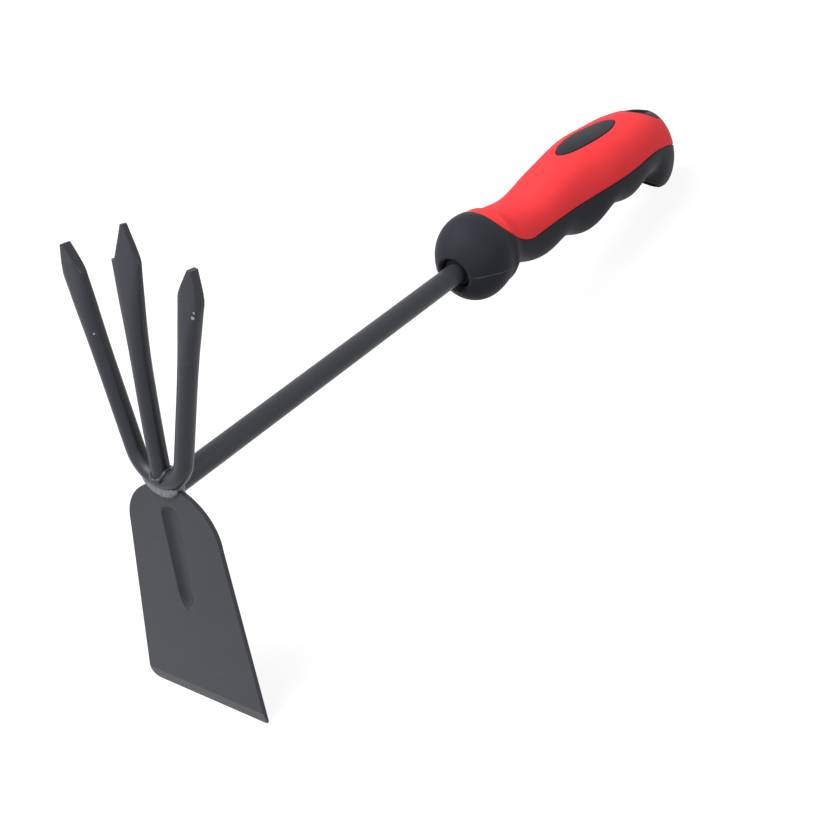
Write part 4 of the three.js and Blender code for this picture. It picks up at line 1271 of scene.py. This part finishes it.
exit_rings = open_skin(grid, exit_block, hang_edge(LOWER_RIM + RIM_CLEAR, False), False)
points, faces = join([(np.array(front_rows), []), (left_half[:SWEEP_ROWS], []), (right_half[:SWEEP_ROWS], []),
                      (grid, [exit_block]), (exit_rings, [])])
give_thickness(finish_piece("black_rubber_grip", points, faces, black_rubber, "grip_body",
                            sharp=60, sink=black_sink))

# %% [markdown]
# ## The ball's parting line
#
# The two halves of the mould meet along a line low on each side of the ball, and a little rubber
# creeps into the gap. It is a real ridge, a few tenths of a millimetre wide, so it is drawn as a
# thin rod half sunk in the ball. A bump in the material would vanish from the exported meshes.

# %% Parting line
FLASH_RADIUS = 0.17
FLASH_SIDES = 10
FLASH_STEPS = 60
FLASH_PLACES = [153.8, 159.6, 163.4, 166.6, 171.7, 177]
FLASH_HEIGHTS = [-0.8, -1.15, -1.9, -2.6, -4.1, -5.8]
flash_x = np.linspace(FLASH_PLACES[0], FLASH_PLACES[-1], FLASH_STEPS)
flash_z = np.interp(flash_x, FLASH_PLACES, FLASH_HEIGHTS)
before = np.clip(HEAD_TO_BALL - flash_x, 0, None) / BALL_FRONT
on_ball = BALL_WIDTH * np.sqrt(BALL_RADIUS ** 2 - before ** 2 - (flash_z - BALL_RISE) ** 2)
behind = np.clip(flash_x - HEAD_TO_BALL, 0, None)
on_grip = on_handle(behind, height_angle(behind, flash_z))[:, 1]
flash_y = np.where(flash_x < HEAD_TO_BALL, on_ball, on_grip)
line = np.stack([flash_x, flash_y, flash_z], axis=1)
outward = (line - (HEAD_TO_BALL, 0, BALL_RISE)) / (BALL_RADIUS, BALL_RADIUS * BALL_WIDTH, BALL_RADIUS)
outward /= np.linalg.norm(outward, axis=1)[:, None]
fade_in = np.minimum(1, np.linspace(0, 12, FLASH_STEPS) + 0.1)
fade_out = np.minimum(1, np.linspace(6, 0, FLASH_STEPS) + 0.1)
sizes = FLASH_RADIUS * fade_in * fade_out
for side, name in ((-1, "parting_line_right"), (1, "parting_line_left")):
    rings = []
    for centre, out, along, size in zip(line, outward, np.gradient(line, axis=0), sizes):
        across = np.cross(out, along)
        across /= np.linalg.norm(across)
        rings.append(oval_ring(centre, across, out, size, size * 0.8, 2, FLASH_SIDES) * [1, side, 1])
    faces = rod_faces(len(rings), FLASH_SIDES)
    finish_piece(name, rings, faces, rubber_flash, "grip_body")

# %% [markdown]
# ## Thumb inlay
#
# The inlay is a black oval let into the red rubber, flush with it. Its skin is a set of rings
# from its edge to its middle, dropped onto the handle's surface from above.

# %% Inlay
INLAY_SIDES = 96
turn = np.linspace(0, 2 * np.pi, INLAY_SIDES, endpoint=False)
sizes = [np.array(INLAY_HALF) - step for step in EDGE_STEPS]
sizes += [sizes[-1] * share for share in np.linspace(1, 0.02, 12)[1:]]
rings = []
for size in sizes:
    x, y = oval_points(size, turn).T
    rings.append(over_handle(x, y))
faces = rod_faces(len(rings), INLAY_SIDES)
faces.remove(tuple(range(INLAY_SIDES)))
give_thickness(finish_piece("black_thumb_inlay", rings, faces, black_rubber, "thumb_inlay",
                            sharp=60, sink=lambda places: rolled(-oval_distance(places, 0))))

# %% [markdown]
# ## Hang hole bush
#
# A black bush lines the hang hole. Its collar lies in the top of the butt, dished round the mouth
# so that a hook finds the hole, and its tube opens under the pommel. It is one skin of rings: in
# over the collar, down the hole, out over the lower rim and back up the outside.

# %% Bush
BUSH_SIDES = 72
HOLE = 4.0
MOUTH_ROUND = 0.5
DISH_RADIUS = 6.4
DISH_DEPTH = 1.4
FLARE_RISE = 6.0
FLARE_WIDTH = 0.4 * DISH_RADIUS
BRIM_DIP = 0.25
BRIM_SOFTNESS = 0.6
LOWER_FLAT = 5.7
LOWER_STEP = 0.3
BUSH_SHOULDER = -8.0
dish_ball = (DISH_RADIUS ** 2 + DISH_DEPTH ** 2) / (2 * DISH_DEPTH)
turn = np.linspace(0, 2 * np.pi, BUSH_SIDES, endpoint=False)


def bush_ring(radius, high):
    """A ring of the bush at a radius and at one or more heights along the hang axis."""
    return HANG_POINT + radius * hang_circle(turn) + (high + 0 * turn)[:, None] * HANG_UP


def dish_height(radius):
    """The dish below its rim, and its steep flare outside it."""
    if radius <= DISH_RADIUS:
        return dish_ball - DISH_DEPTH - math.sqrt(dish_ball ** 2 - radius ** 2)
    return (radius - DISH_RADIUS) * FLARE_RISE / FLARE_WIDTH


rings = []
for radius in [*(COLLAR - EDGE_STEPS), *np.linspace(COLLAR - 0.6, HOLE + MOUTH_ROUND, 26)]:
    surface = hang_ring(radius, turn)[1] - rolled(np.full(BUSH_SIDES, COLLAR - radius))
    dish = dish_height(radius)
    brim = np.minimum(surface, dish) - BRIM_DIP * np.exp(-np.abs(surface - dish) / BRIM_SOFTNESS)
    rings.append(bush_ring(radius, brim))
for t in np.linspace(0, np.pi / 2, 6)[1:]:
    rings.append(bush_ring(HOLE + MOUTH_ROUND * (1 - math.sin(t)), brim - MOUTH_ROUND * (1 - math.cos(t))))
low_inner = hang_ring(HOLE, turn, False)[1]
for share in (0.25, 0.5, 0.75, 0.97):
    rings.append(bush_ring(HOLE, mix(brim - MOUTH_ROUND, low_inner, share)))
for radius in np.linspace(HOLE + LOWER_STEP, LOWER_FLAT, 5):
    rings.append(bush_ring(radius, hang_ring(radius, turn, False)[1]))
rings.append(bush_ring(LOWER_RIM, hang_ring(LOWER_RIM, turn, False)[1] + LOWER_STEP))
rings += [bush_ring(LOWER_RIM, BUSH_SHOULDER), bush_ring(COLLAR, BUSH_SHOULDER)]
collar_rim = hang_ring(COLLAR, turn)[1]
rings.append(bush_ring(COLLAR, mix(collar_rim, BUSH_SHOULDER, 0.5)))
faces = quads(len(rings), BUSH_SIDES, wrap=True, loop=True)
print("rim of the collar, from its butt side to its front:", collar_rim[:37:6].round(2).tolist())
finish_piece("black_hang_bush", rings, faces, black_rubber, "hang_hole_sleeve", sharp=50)

# %% [markdown]
# ## Hidden core
#
# The hard plastic core fills the handle between the bar's tang and the soft skin. Nothing of it
# shows, so the CAD node stays as it is and only gets its finish.

# %% Finish of the core
core = frame["nodes"]["handle_core"]
core.data.materials.clear()
core.data.materials.append(core_plastic)
print("handle_core has", core.data.materials[0].name)
